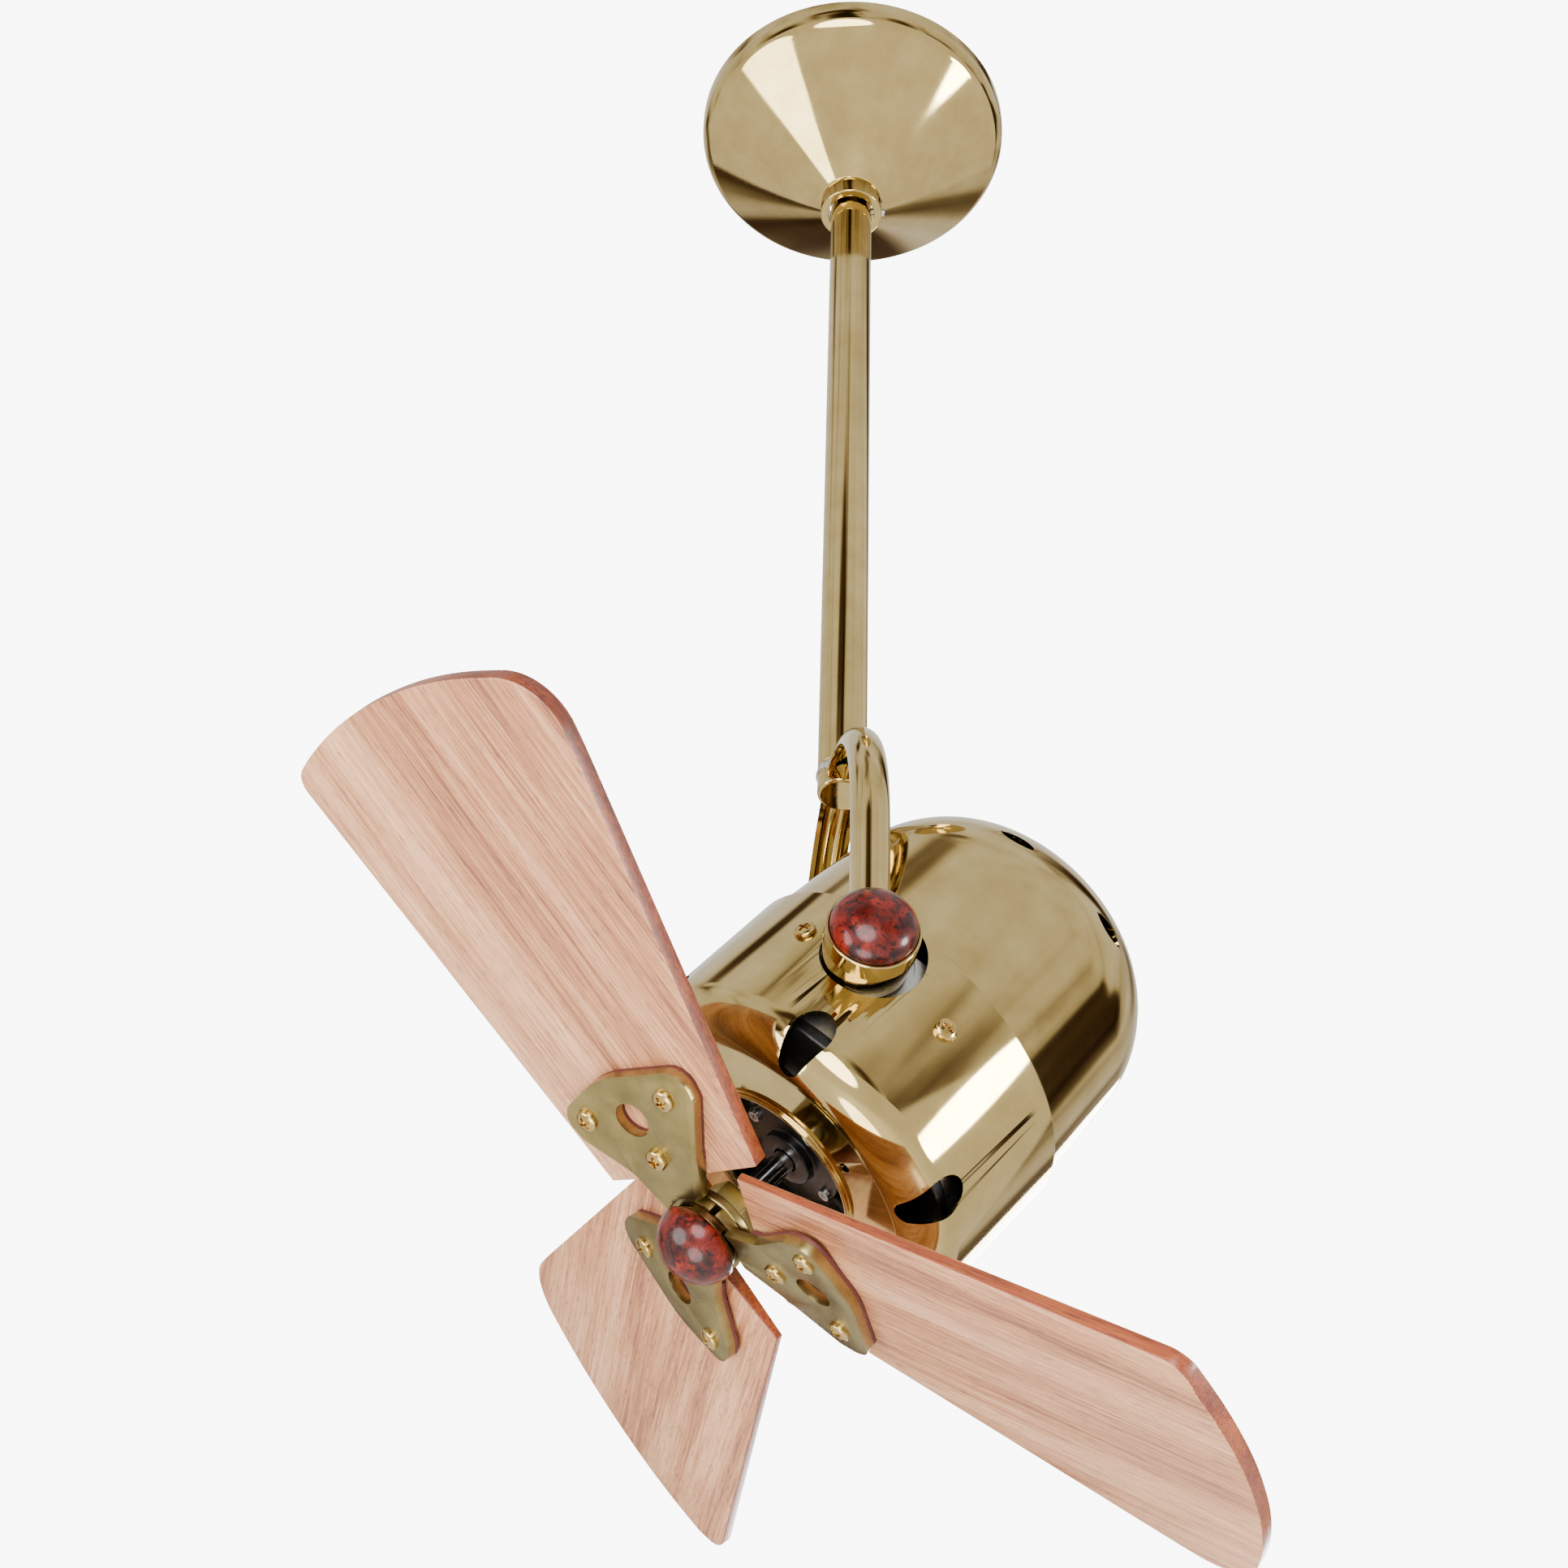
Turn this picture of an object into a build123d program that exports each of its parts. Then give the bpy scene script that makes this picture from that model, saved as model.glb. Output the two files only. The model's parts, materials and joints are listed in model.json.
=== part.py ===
from build123d import *
import os
from math import cos, sin, radians

# A directional ceiling fan.  A canopy and a downrod hold a half-round yoke; the motor
# head tilts in the yoke on two side pivots, and turns three pitched wooden blades.
# Millimetres, +Z up.  The origin is the centre of the ceiling bracket's top face.
# X runs across the yoke's swing plane and the side pivots lie along Y.

os.makedirs("parts", exist_ok=True)

# ---------------------------------------------------------------- driving sizes
# overall
pivot_drop = 620.0            # ceiling to the tilt axis
rest_tilt = 50.7              # motor axis below the horizontal, at rest
axis_drop = 13.7              # motor axis below the tilt axis, across the head
housing_radius = 80.0
housing_front = 56.0          # tilt axis to the front lip, along the motor axis
rear_reach = 124.5            # tilt axis to the back of the rear shell
blade_tip_radius = 242.0
blade_pitch = 11.5            # degrees out of the plane of rotation
blade_phase = -31.0           # first blade, turned about the motor axis from straight up

# clearances
gap = 0.3                     # between pieces that move past each other
seat_gap = 0.05               # between pieces that are seated together
cut_over = 1.0                # how far a cut runs past the face it opens
run_fit = 0.05                # radial clearance of a turning fit
hole_clear = 0.25             # radial clearance of a screw in its hole

# ceiling bracket
plate_length = 116.0
plate_width = 36.0
plate_wall = 2.5
ceiling_hole_spacing = 88.9
ceiling_hole_radius = 2.6
lead_hole_radius = 8.0
leg_width = 30.0
leg_length = 40.0
leg_gap = 28.0                # between the insides of the two legs
hanger_bolt_radius = 3.0
hanger_bolt_drop = 30.0       # ceiling to the hanger bolt
hanger_head_height = 4.0
hanger_head_radius = 5.5
hanger_nut_height = 5.0
hanger_tail = 9.0             # bolt end beyond the leg
plate_corner = 6.0
isolator_radius = 9.0

# canopy and its collar
canopy_radius = 83.75
canopy_height = 64.5
canopy_wall = 1.2
canopy_ceiling_gap = 0.5
shoulder_height = 13.0
shoulder_radius = 13.0
canopy_neck_radius = 17.2
canopy_mouth_radius = 13.4
canopy_neck_round = 2.0
collar_radius = 16.6
collar_height = 10.2
collar_bore_gap = 1.3
collar_screw_radius = 2.0
collar_screw_stand = 1.5      # screw end outside the collar
collar_edge_round = 0.5

# downrod and its lead
rod_radius = 11.0
rod_wall = 1.8
rod_top_drop = 16.0
lead_radius = 3.0
lead_below_bolt = 9.0         # top of the modelled lead below the hanger bolt

# yoke: a half-round channel bent into an arch
arm_radius = 8.0              # outside of the half-round
arm_wall = 2.2
arch_radius = 84.0            # open edge of the channel to the arch's centre
arch_rise = 60.0              # tilt axis to the arch's centre
boss_height = 14.0
boss_stand = 2.0              # boss above the arch's crown
spigot_length = 14.0
wire_hole_radius = 3.2
wire_hole_angle = 29.0

# side pivots
cup_face = 96.0               # rim of a side cup, from the motor axis' plane
cup_rim_radius = 18.5
cup_foot_radius = 16.8
cup_floor = 3.0
cup_cavity_radius = 11.5
cup_wall = 1.3
cap_seat_depth = 8.0
cap_dome_height = 11.0
cap_mid_radius = 0.66         # share of the cap's radius where its dome turns over
cap_mid_height = 0.78         # and share of the dome's height there
pad_face = 72.0               # outer face of the head's pivot pad
pad_depth = 6.0
pad_half_size = 12.0
pad_corner = 4.0
cup_stand_off = 1.0           # cup floor to the pad, round the friction washer
cup_body_rounds = (1.0, 6.0, 0.6)
washer_thickness = 0.7
washer_inset = 1.0            # washer edge inside the pad's
pivot_bolt_radius = 4.0
pivot_head_radius = 6.5
pivot_head_height = 5.0
pivot_nut_height = 5.0
pivot_nut_flats = 13.0
pivot_bolt_tail = 1.0         # bolt end beyond its nut

# head shells
housing_wall = 1.5
front_shoulder = 15.5
lip_radius = 63.2
lip_step = 3.0
lip_width = 2.0
lip_rounds = (1.0, 0.8, 0.6, 0.5, 0.5, 0.6, 0.4, 0.4)
inside_step_shift = 0.2       # inside of the step, out from the lip's middle
opening_radius = 35.6
rim_wall = 1.6                # rolled rim round the opening
rim_drop = 0.6                # its top below the front lip
seam_station = -21.5          # rear edge of the front shell
rear_edge_bevel = 0.8
slot_half_width = 23.0
slot_end_station = -8.8
pivot_hole_radius = 20.8
pivot_hole_shift = 1.9         # its centre behind the tilt axis, and below it
rear_mouth_radius = 78.0
rear_corner_radius = 71.5
rear_corner_rise = 4.0
rear_round = 55.0
rear_overlap = 12.5           # length of the rear shell inside the front shell
lap_gap = 0.2
lap_steps = (1.0, 1.5, 2.5, 3.5)  # the joggle's corners, in front of the seam
lap_round = 0.5
tongue_drop = 0.1             # tongue outside below the front shell's outside
ear_length = 24.0
ear_width = 16.0
ear_front = 7.0               # ears end this far in front of their screws
screw_station = 3.0
screw_mid_azimuth = 85.0
screw_half_spread = 25.6
housing_screw_radius = 2.0
housing_screw_length = 10.0
screw_head_radius = 4.6
screw_head_height = 2.6
screw_head_taper = 12.0       # degrees
cross_share = (1.1, 0.26, 0.6)  # cross length and width over head radius, depth over height
front_vents = 6
front_vent_azimuth = -86.0
front_vent_length = 27.0
front_vent_shift = 3.5         # the vents sit towards the rear of the shoulder
front_vent_wide_end = 8.4     # radius
front_vent_narrow_end = 5.0
front_vent_depth = 14.0
vent_lean = 45.0              # degrees the front vents lean forward
rear_vents = 8
rear_vent_azimuth = -81.0
rear_vent_station = -96.0
rear_vent_length = 18.0
rear_vent_width = 7.6
rear_vent_depth_radius = 66.0 # middle of the vents' cut
rear_vent_lean = 30.0         # degrees they lean backwards
rear_vent_depth = 12.0

# motor
cage_radius = 73.0
cage_wall = 3.0
cage_boss_radius = 6.5        # bosses that take the housing screws
cage_back = -16.0
cage_front = 36.0
stator_radius = 55.5
stator_bore = 30.0
stator_back = -36.0
stator_front = 20.0
winding_radius = 52.0
winding_inner_radius = 34.0
winding_height = 12.0
bell_wall = 5.0
bell_clear = 2.0              # windings to the rear end bell
bell_edge_gap = 1.0
shaft_clear = 0.6             # radial, round the shaft where it passes a plate
rear_nose_radius = 16.0
rear_nose_height = 4.0
winding_round = 3.0
bell_boss_radius = 24.0
bell_boss_height = 4.0
bell_nose_radius = 12.0
bell_nose_height = 4.0
bell_ribs = 8
rib_height = 2.5
rib_width = 3.0
rib_reach = 56.5              # outer end of the ribs
tie_bolt_circle = 64.5
tie_bolt_radius = 2.0
tie_bolts_count = 4
tie_bolt_azimuth = 45.0
tie_head_radius = 3.8
tie_head_height = 2.6
tie_tail = 3.0
retainer_circle = 20.7
retainer_azimuth = -110.0
retainer_count = 4
retainer_screw_radius = 1.5
retainer_screw_length = 7.0
retainer_head_radius = 2.8
retainer_head_height = 1.6
bearing_radius = 11.0
bearing_width = 7.0
shaft_radius = 5.0
shaft_back = -62.0
rotor_air_gap = 0.6
capacitor_length = 46.0
capacitor_width = 24.0
capacitor_height = 18.0
capacitor_corner = 4.0
capacitor_gap = 3.0           # to the rear end bell

# hub, brackets and blades; stations are from the tilt axis along the motor axis
bracket_station = 96.2        # front faces of the brackets, at the motor axis
bracket_thickness = 4.2
hub_plate_radius = 17.0
hub_plate_thickness = 3.9
hub_clear_depth = 20.0        # depth kept free of bracket in front of and behind the hub
foot_thickness = 4.0
foot_drop = 1.6               # feet below the brackets' front faces
foot_edge_gap = 0.2
hub_hex_flats = 22.0
hub_hex_length = 10.0
hub_edge_round = 0.8
hub_hex_bite = 0.5            # the hexagon runs this far into the plate
foot_half_angle = 55.0
foot_screw_circle = 11.5
foot_screw_radius = 1.8
foot_screw_start = 0.6        # bottom of the blind holes above the plate's back
foot_screw_play = 0.1
blade_count = 3
blade_thickness = 7.0
blade_backing = 1.8
blade_screw_radius = 2.2
blade_screw_bite = 5.0        # length of a blade screw inside the wood
lightening_hole_radius = 7.6
bevel_angle = 5.7
finial_radius = 17.3
finial_dome = 16.5
finial_ring_radius = 15.3
finial_ring_height = 3.4
finial_ring_round = 0.5
finial_foot_taper = (1.2, 1.4)  # in and up, at the foot of the dome
finial_mid_radius = 0.68      # share of the radius where the dome turns over
finial_mid_height = 0.82      # and share of its height there
stud_radius = 4.0
stud_reach = 11.95            # threaded end beyond the blade feet
stud_bevel = 0.6
stud_end_gap = 0.5

# blade outline: distance out along the blade, and across it towards the leading edge
root_lead = (31.0, 40.0)
root_trail = (16.3, -42.7)
tip_lead = (0.959 * blade_tip_radius, 0.194 * blade_tip_radius)
tip_mid = (blade_tip_radius, 0.021 * blade_tip_radius)
tip_back = (0.967 * blade_tip_radius, -0.227 * blade_tip_radius)
tip_trail = (0.876 * blade_tip_radius, -0.434 * blade_tip_radius)
trail_mid = (0.752 * blade_tip_radius, -0.399 * blade_tip_radius)
tip_lead_round = 0.037 * blade_tip_radius
tip_trail_round = 0.107 * blade_tip_radius
tip_round = 0.72 * blade_tip_radius
trail_round = 1.24 * blade_tip_radius
bevel_root = (17.0, 1.0)
bevel_tip = (0.967 * blade_tip_radius, 0.14 * blade_tip_radius)

# bracket outline, in the same directions
paddle = [(14.5, 8.5), (34.0, 12.5), (54.0, 25.5), (68.0, 28.0), (74.5, -4.0),
          (64.0, -46.0), (50.0, -42.5), (31.0, -25.0), (14.5, -13.0)]
paddle_rounds = [0, 14.0, 8.0, 9.0, 40.0, 9.0, 8.0, 14.0, 0]
pad_start = 27.0              # where the backing starts, out along the blade
blade_screws_at = [(61.0, 16.0), (56.2, -29.6), (35.7, -4.6)]
lightening_hole_at = (53.9, -6.5)

# ---------------------------------------------------------------- derived frames
up = Vector(-sin(radians(rest_tilt)), 0, cos(radians(rest_tilt)))
forward = Vector(-cos(radians(rest_tilt)), 0, -sin(radians(rest_tilt)))
pivot = Vector(0, 0, -pivot_drop)
head = Plane(origin=pivot - up * axis_drop, x_dir=up, z_dir=forward)
head_section = Plane(origin=head.origin, x_dir=up, z_dir=(0, -1, 0))
motor_axis = Axis(head.origin, forward)
tilt_axis = Axis(pivot, (0, 1, 0))
upright = Plane.XZ
sides = (-1, 1)


def turned(points, rounds, plane=head_section, axis=motor_axis, mode=Mode.ADD):
    """A solid of revolution from a closed outline of (radius, station) points."""
    with BuildSketch(plane) as outline:
        with BuildLine():
            FilletPolyline(*points, radius=rounds, close=True)
        make_face()
    revolve(outline.sketch, axis=axis, mode=mode)


def disc(station, radius, height, inner=0.0, mode=Mode.ADD):
    """A plain ring or disc about the motor axis, growing forward from a station."""
    with BuildSketch(head.offset(station)) as face:
        Circle(radius)
        if inner > 0:
            Circle(inner, mode=Mode.SUBTRACT)
    extrude(face.sketch, amount=height, mode=mode)


def rod_along(plane, radius, height, spots=((0, 0),), mode=Mode.ADD):
    """Round rods on a plane, growing along its normal."""
    with BuildSketch(plane) as face:
        with Locations(*spots):
            Circle(radius)
    extrude(face.sketch, amount=height, mode=mode)


def side_plane(side, distance):
    """A plane across the tilt axis, facing outward on the given side."""
    return Plane(origin=pivot + Vector(0, side * distance, 0), x_dir=(1, 0, 0),
                 z_dir=(0, side, 0))


def hole_plane(side):
    """Inside the head, facing outward through a shell's pivot hole."""
    centre = pivot - (up + forward) * pivot_hole_shift
    return Plane(origin=centre + Vector(0, side * 0.375 * housing_radius, 0),
                 x_dir=(1, 0, 0), z_dir=(0, side, 0))


def radial_plane(azimuth, station, radius, lean=0.0):
    """A plane on the head's skin whose normal points outward, leaned forward."""
    out = up * cos(radians(azimuth)) + Vector(0, 1, 0) * sin(radians(azimuth))
    around = out.cross(forward)
    normal = out * cos(radians(lean)) + forward * sin(radians(lean))
    spot = head.origin + out * radius + forward * station
    return Plane(origin=spot, x_dir=around, z_dir=normal)


def pan_screw(plane, radius, length, head_radius, head_height):
    """A pan-head screw with a cross recess, its head standing on the plane."""
    rod_along(plane, radius, -length)
    with BuildSketch(plane) as seat:
        Circle(head_radius)
    extrude(seat.sketch, amount=head_height, taper=screw_head_taper)
    cross_length = head_radius * cross_share[0]
    cross_width = head_radius * cross_share[1]
    with BuildSketch(plane.offset(head_height)) as cross:
        Rectangle(cross_length, cross_width)
        Rectangle(cross_width, cross_length)
    extrude(cross.sketch, amount=-head_height * cross_share[2], mode=Mode.SUBTRACT)


def blade_plane(index, height=0.0):
    """Front face of a blade's bracket: X out along the blade, Z to the front."""
    turn = Location((0, 0, bracket_station), (0, 0, blade_phase - 360 / blade_count * index))
    pitch = Location((0, 0, 0), (blade_pitch, 0, 0))
    return Plane(head.location * turn * pitch).offset(height)


# ---------------------------------------------------------------- ceiling bracket
leg_middle = leg_gap / 2 + plate_wall / 2
bolt_axis = Plane(origin=(0, 0, -hanger_bolt_drop), x_dir=(0, 1, 0), z_dir=(1, 0, 0))

with BuildPart() as ceiling_bracket:
    with BuildSketch(Plane.XY):
        RectangleRounded(plate_length, plate_width, plate_corner)
        with GridLocations(ceiling_hole_spacing, 1, 2, 1):
            Circle(ceiling_hole_radius, mode=Mode.SUBTRACT)
        Circle(lead_hole_radius, mode=Mode.SUBTRACT)
    extrude(amount=-plate_wall)
    with BuildSketch(Plane.XY.offset(-plate_wall)):
        with GridLocations(2 * leg_middle, 1, 2, 1):
            Rectangle(plate_wall, leg_width)
    extrude(amount=-(leg_length - plate_wall))
    rod_along(bolt_axis.offset(-plate_width), hanger_bolt_radius + seat_gap,
              2 * plate_width, mode=Mode.SUBTRACT)
ceiling_bracket.part.label = "ceiling_bracket"
export_step(ceiling_bracket.part, "parts/ceiling_bracket.step")

leg_outside = leg_gap / 2 + plate_wall
with BuildPart() as hanger_bolt:
    rod_along(bolt_axis.offset(-leg_outside - seat_gap), hanger_bolt_radius,
              2 * leg_outside + hanger_tail)
    with BuildSketch(bolt_axis.offset(-leg_outside - seat_gap)) as bolt_head:
        RegularPolygon(hanger_head_radius, 6)
    extrude(bolt_head.sketch, amount=-hanger_head_height)
hanger_bolt.part.label = "hanger_bolt"
export_step(hanger_bolt.part, "parts/hanger_bolt.step")

with BuildPart() as hanger_nut:
    with BuildSketch(bolt_axis.offset(leg_outside + seat_gap)) as nut_face:
        RegularPolygon(hanger_head_radius, 6)
        Circle(hanger_bolt_radius + seat_gap, mode=Mode.SUBTRACT)
    extrude(nut_face.sketch, amount=hanger_nut_height)
hanger_nut.part.label = "hanger_nut"
export_step(hanger_nut.part, "parts/hanger_nut.step")

spacer_length = leg_gap / 2 - rod_radius - 2 * seat_gap
with BuildPart() as isolator_washers:
    for side in sides:
        with BuildSketch(bolt_axis.offset(side * (rod_radius + seat_gap))) as rubber:
            Circle(isolator_radius)
            Circle(hanger_bolt_radius + seat_gap, mode=Mode.SUBTRACT)
        extrude(rubber.sketch, amount=side * spacer_length)
isolator_washers.part.label = "isolator_washers"
export_step(isolator_washers.part, "parts/isolator_washers.step")

# ---------------------------------------------------------------- canopy
canopy_foot = -canopy_height
with BuildPart() as canopy:
    with BuildSketch(upright) as canopy_outline:
        with BuildLine():
            FilletPolyline((0, -canopy_ceiling_gap), (canopy_radius, -canopy_ceiling_gap),
                           (canopy_radius, -shoulder_height), (canopy_neck_radius, canopy_foot),
                           (0, canopy_foot), close=True,
                           radius=[0, 0, shoulder_radius, canopy_neck_round, 0])
        make_face()
    revolve(canopy_outline.sketch, axis=Axis.Z)
    rim_face = canopy.faces().sort_by(Axis.Z)[-1]
    offset(amount=-canopy_wall, openings=rim_face)
    with BuildSketch(Plane.XY.offset(canopy_foot - cut_over)) as mouth:
        Circle(canopy_mouth_radius)
    extrude(mouth.sketch, amount=4 * canopy_wall, mode=Mode.SUBTRACT)
canopy.part.label = "canopy"
export_step(canopy.part, "parts/canopy.step")

collar_top = canopy_foot - seat_gap
with BuildPart() as canopy_collar:
    with BuildSketch(Plane.XY.offset(collar_top)):
        Circle(collar_radius)
        Circle(rod_radius + collar_bore_gap, mode=Mode.SUBTRACT)
    extrude(amount=-collar_height)
    fillet(canopy_collar.edges().group_by(Axis.Z)[0], collar_edge_round)
    screw_spot = Plane(origin=(0, 0, collar_top - collar_height / 2), x_dir=(0, 1, 0),
                       z_dir=(1, 0, 0))
    rod_along(screw_spot, collar_screw_radius + seat_gap, collar_radius + cut_over,
              mode=Mode.SUBTRACT)
canopy_collar.part.label = "canopy_collar"
export_step(canopy_collar.part, "parts/canopy_collar.step")

with BuildPart() as collar_screw:
    rod_along(screw_spot.offset(rod_radius + seat_gap), collar_screw_radius,
              collar_radius - rod_radius + collar_screw_stand)
collar_screw.part.label = "collar_screw"
export_step(collar_screw.part, "parts/collar_screw.step")

# ---------------------------------------------------------------- downrod and yoke
arch_centre = pivot + Vector(0, 0, arch_rise)
crown = arch_rise + arch_radius + arm_radius
boss_top = -pivot_drop + crown + boss_stand
with BuildPart() as downrod:
    with BuildSketch(Plane.XY.offset(boss_top + seat_gap)):
        Circle(rod_radius)
        Circle(rod_radius - rod_wall, mode=Mode.SUBTRACT)
    extrude(amount=-rod_top_drop - boss_top - seat_gap)
    rod_along(bolt_axis.offset(-plate_width), hanger_bolt_radius + seat_gap,
              2 * plate_width, mode=Mode.SUBTRACT)
downrod.part.label = "downrod"
export_step(downrod.part, "parts/downrod.step")

arm_foot_plane = Plane.XY.offset(-pivot_drop + arch_rise)
with BuildPart() as yoke:
    with BuildSketch(arm_foot_plane) as arm_section:
        for side in sides:
            with Locations((0, side * arch_radius)):
                Circle(arm_radius)
                Circle(arm_radius - arm_wall, mode=Mode.SUBTRACT)
        Rectangle(4 * arm_radius, 2 * arch_radius, mode=Mode.SUBTRACT)
    extrude(arm_section.sketch, amount=-arch_rise)
    half_arm = arm_section.sketch.faces().sort_by(Axis.Y)[0]
    revolve(half_arm, axis=Axis(arch_centre, (-1, 0, 0)), revolution_arc=180)
    rod_along(Plane.XY.offset(boss_top), rod_radius, -boss_height)
    rod_along(Plane.XY.offset(boss_top), rod_radius - rod_wall - seat_gap, spigot_length)
    rod_along(Plane.XY.offset(boss_top + spigot_length), lead_radius + seat_gap,
              -spigot_length, mode=Mode.SUBTRACT)
    hole_dir = Vector(0, -sin(radians(wire_hole_angle)), cos(radians(wire_hole_angle)))
    wire_hole_plane = Plane(origin=arch_centre + hole_dir * arch_radius, x_dir=(1, 0, 0),
                            z_dir=hole_dir)
    rod_along(wire_hole_plane, wire_hole_radius, 2 * arm_radius, mode=Mode.SUBTRACT)
    for side in sides:
        rod_along(side_plane(side, pad_face), cup_rim_radius + seat_gap, cup_face - pad_face + arm_radius,
                  mode=Mode.SUBTRACT)
yoke.part.label = "yoke"
export_step(yoke.part, "parts/yoke.step")

with BuildPart() as lead_cable:
    lead_start = hanger_bolt_drop + lead_below_bolt
    rod_along(Plane.XY.offset(-lead_start), lead_radius, boss_top + seat_gap + lead_start)
lead_cable.part.label = "lead_cable"
export_step(lead_cable.part, "parts/lead_cable.step")

# ---------------------------------------------------------------- side pivots
cup_base = pad_face + cup_stand_off
cup_seat = cup_face - cap_seat_depth
bolt_seat = cup_base + cup_floor
for side, side_name in ((-1, "front"), (1, "rear")):
    cup_section = Plane(origin=pivot, x_dir=(1, 0, 0), z_dir=(0, 0, side))
    with BuildPart() as pivot_cup:
        turned([(0, cup_base), (cup_foot_radius, cup_base), (cup_rim_radius, cup_seat),
                (cup_rim_radius, cup_face), (0, cup_face)], [0, *cup_body_rounds, 0],
               plane=cup_section, axis=tilt_axis)
        seat = cup_rim_radius - cup_wall
        turned([(0, bolt_seat), (cup_cavity_radius, bolt_seat), (cup_cavity_radius, cup_seat),
                (seat, cup_seat), (seat, cup_face + cut_over), (0, cup_face + cut_over)],
               [0, 0, 0, 0, 0, 0], plane=cup_section, axis=tilt_axis, mode=Mode.SUBTRACT)
        rod_along(side_plane(side, pad_face), pivot_bolt_radius + seat_gap, 2 * cup_floor + cup_stand_off,
                  mode=Mode.SUBTRACT)
    pivot_cup.part.label = "pivot_cup_" + side_name
    export_step(pivot_cup.part, "parts/pivot_cup_" + side_name + ".step")

    with BuildPart() as cap:
        with BuildSketch(cup_section) as cap_outline:
            with BuildLine():
                rim_point = (seat - seat_gap, cup_face)
                dome_mid = (rim_point[0] * cap_mid_radius,
                            cup_face + cap_dome_height * cap_mid_height)
                Polyline((0, cup_seat + seat_gap), (rim_point[0], cup_seat + seat_gap),
                         rim_point)
                Spline(rim_point, dome_mid, (0, cup_face + cap_dome_height),
                       tangents=((-0.25, 1), (-1, 0)))
                Line((0, cup_face + cap_dome_height), (0, cup_seat + seat_gap))
            make_face()
        revolve(cap_outline.sketch, axis=tilt_axis)
    cap.part.label = "pivot_cap_" + side_name
    export_step(cap.part, "parts/pivot_cap_" + side_name + ".step")

nut_outer = pad_face - pad_depth - gap
nut_inner = nut_outer - pivot_nut_height
with BuildPart() as pivot_bolts:
    for side in sides:
        rod_along(side_plane(side, nut_inner - pivot_bolt_tail), pivot_bolt_radius,
                  bolt_seat + seat_gap - nut_inner + pivot_bolt_tail)
        with BuildSketch(side_plane(side, bolt_seat + seat_gap)) as bolt_head:
            RegularPolygon(pivot_head_radius, 6)
        extrude(bolt_head.sketch, amount=pivot_head_height)
pivot_bolts.part.label = "pivot_bolts"
export_step(pivot_bolts.part, "parts/pivot_bolts.step")

with BuildPart() as pivot_nuts:
    for side in sides:
        with BuildSketch(side_plane(side, nut_inner)) as nut_face:
            RegularPolygon(pivot_nut_flats / 2, 6, major_radius=False)
            Circle(pivot_bolt_radius + seat_gap, mode=Mode.SUBTRACT)
        extrude(nut_face.sketch, amount=pivot_nut_height)
pivot_nuts.part.label = "pivot_nuts"
export_step(pivot_nuts.part, "parts/pivot_nuts.step")

washer_seat = pad_face + (cup_base - pad_face - washer_thickness) / 2
with BuildPart() as friction_washers:
    for side in sides:
        with BuildSketch(side_plane(side, washer_seat)) as fibre:
            Circle(pad_half_size - washer_inset)
            Circle(pivot_bolt_radius + seat_gap, mode=Mode.SUBTRACT)
        extrude(fibre.sketch, amount=washer_thickness)
friction_washers.part.label = "friction_washers"
export_step(friction_washers.part, "parts/friction_washers.step")

# ---------------------------------------------------------------- front shell
screw_azimuths = [side * (screw_mid_azimuth + turn * screw_half_spread)
                  for side in sides for turn in sides]
screw_cut_start = 0.75 * housing_radius
screw_cut_length = 0.375 * housing_radius
inner_radius = housing_radius - housing_wall
inner_front = housing_front - housing_wall
face_station = housing_front - lip_step
rim_station = housing_front - rim_drop
inside_step = lip_radius - lip_width / 2 + inside_step_shift
shoulder_centre = (housing_radius - front_shoulder, housing_front - front_shoulder)
with BuildPart() as front_housing:
    turned([(inner_radius, seam_station), (housing_radius - rear_edge_bevel, seam_station),
            (housing_radius, seam_station + rear_edge_bevel), (housing_radius, housing_front),
            (lip_radius - lip_width / 2, housing_front), (lip_radius - lip_width, face_station),
            (opening_radius + rim_wall, face_station),
            (opening_radius + rim_wall, rim_station), (opening_radius, rim_station),
            (opening_radius, face_station - housing_wall),
            (inside_step, face_station - housing_wall), (inside_step + lip_width / 2, inner_front),
            (inner_radius, inner_front)],
           [0, 0, 0, front_shoulder, *lip_rounds, front_shoulder - housing_wall])
    for k in range(front_vents):
        vent_azimuth = front_vent_azimuth + 360 / front_vents * k
        middle = (shoulder_centre[0] + front_shoulder * cos(radians(vent_lean)),
                  shoulder_centre[1] + front_shoulder * sin(radians(vent_lean)))
        with BuildSketch(radial_plane(vent_azimuth, middle[1], middle[0], vent_lean)) as vent:
            with Locations((0, front_vent_shift + front_vent_length / 2 - front_vent_wide_end)):
                Circle(front_vent_wide_end)
            with Locations((0, front_vent_shift + front_vent_narrow_end - front_vent_length / 2)):
                Circle(front_vent_narrow_end)
            make_hull()
        extrude(vent.sketch, amount=front_vent_depth, both=True, mode=Mode.SUBTRACT)
    for side in sides:
        rod_along(hole_plane(side), pivot_hole_radius, housing_radius, mode=Mode.SUBTRACT)
        slot_length = slot_end_station - seam_station + cut_over
        with BuildSketch(Plane(origin=pivot + Vector(0, side * (housing_radius - slot_half_width), 0),
                               x_dir=up, z_dir=(0, side, 0))) as slot:
            with Locations((0, -side * (slot_end_station - slot_length / 2))):
                Rectangle(2 * slot_half_width, slot_length)
        extrude(slot.sketch, amount=2 * slot_half_width, mode=Mode.SUBTRACT)
    for azimuth in screw_azimuths:
        rod_along(radial_plane(azimuth, screw_station, screw_cut_start),
                  housing_screw_radius + hole_clear, screw_cut_length, mode=Mode.SUBTRACT)
front_housing.part.label = "front_housing"
export_step(front_housing.part, "parts/front_housing.step")

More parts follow.
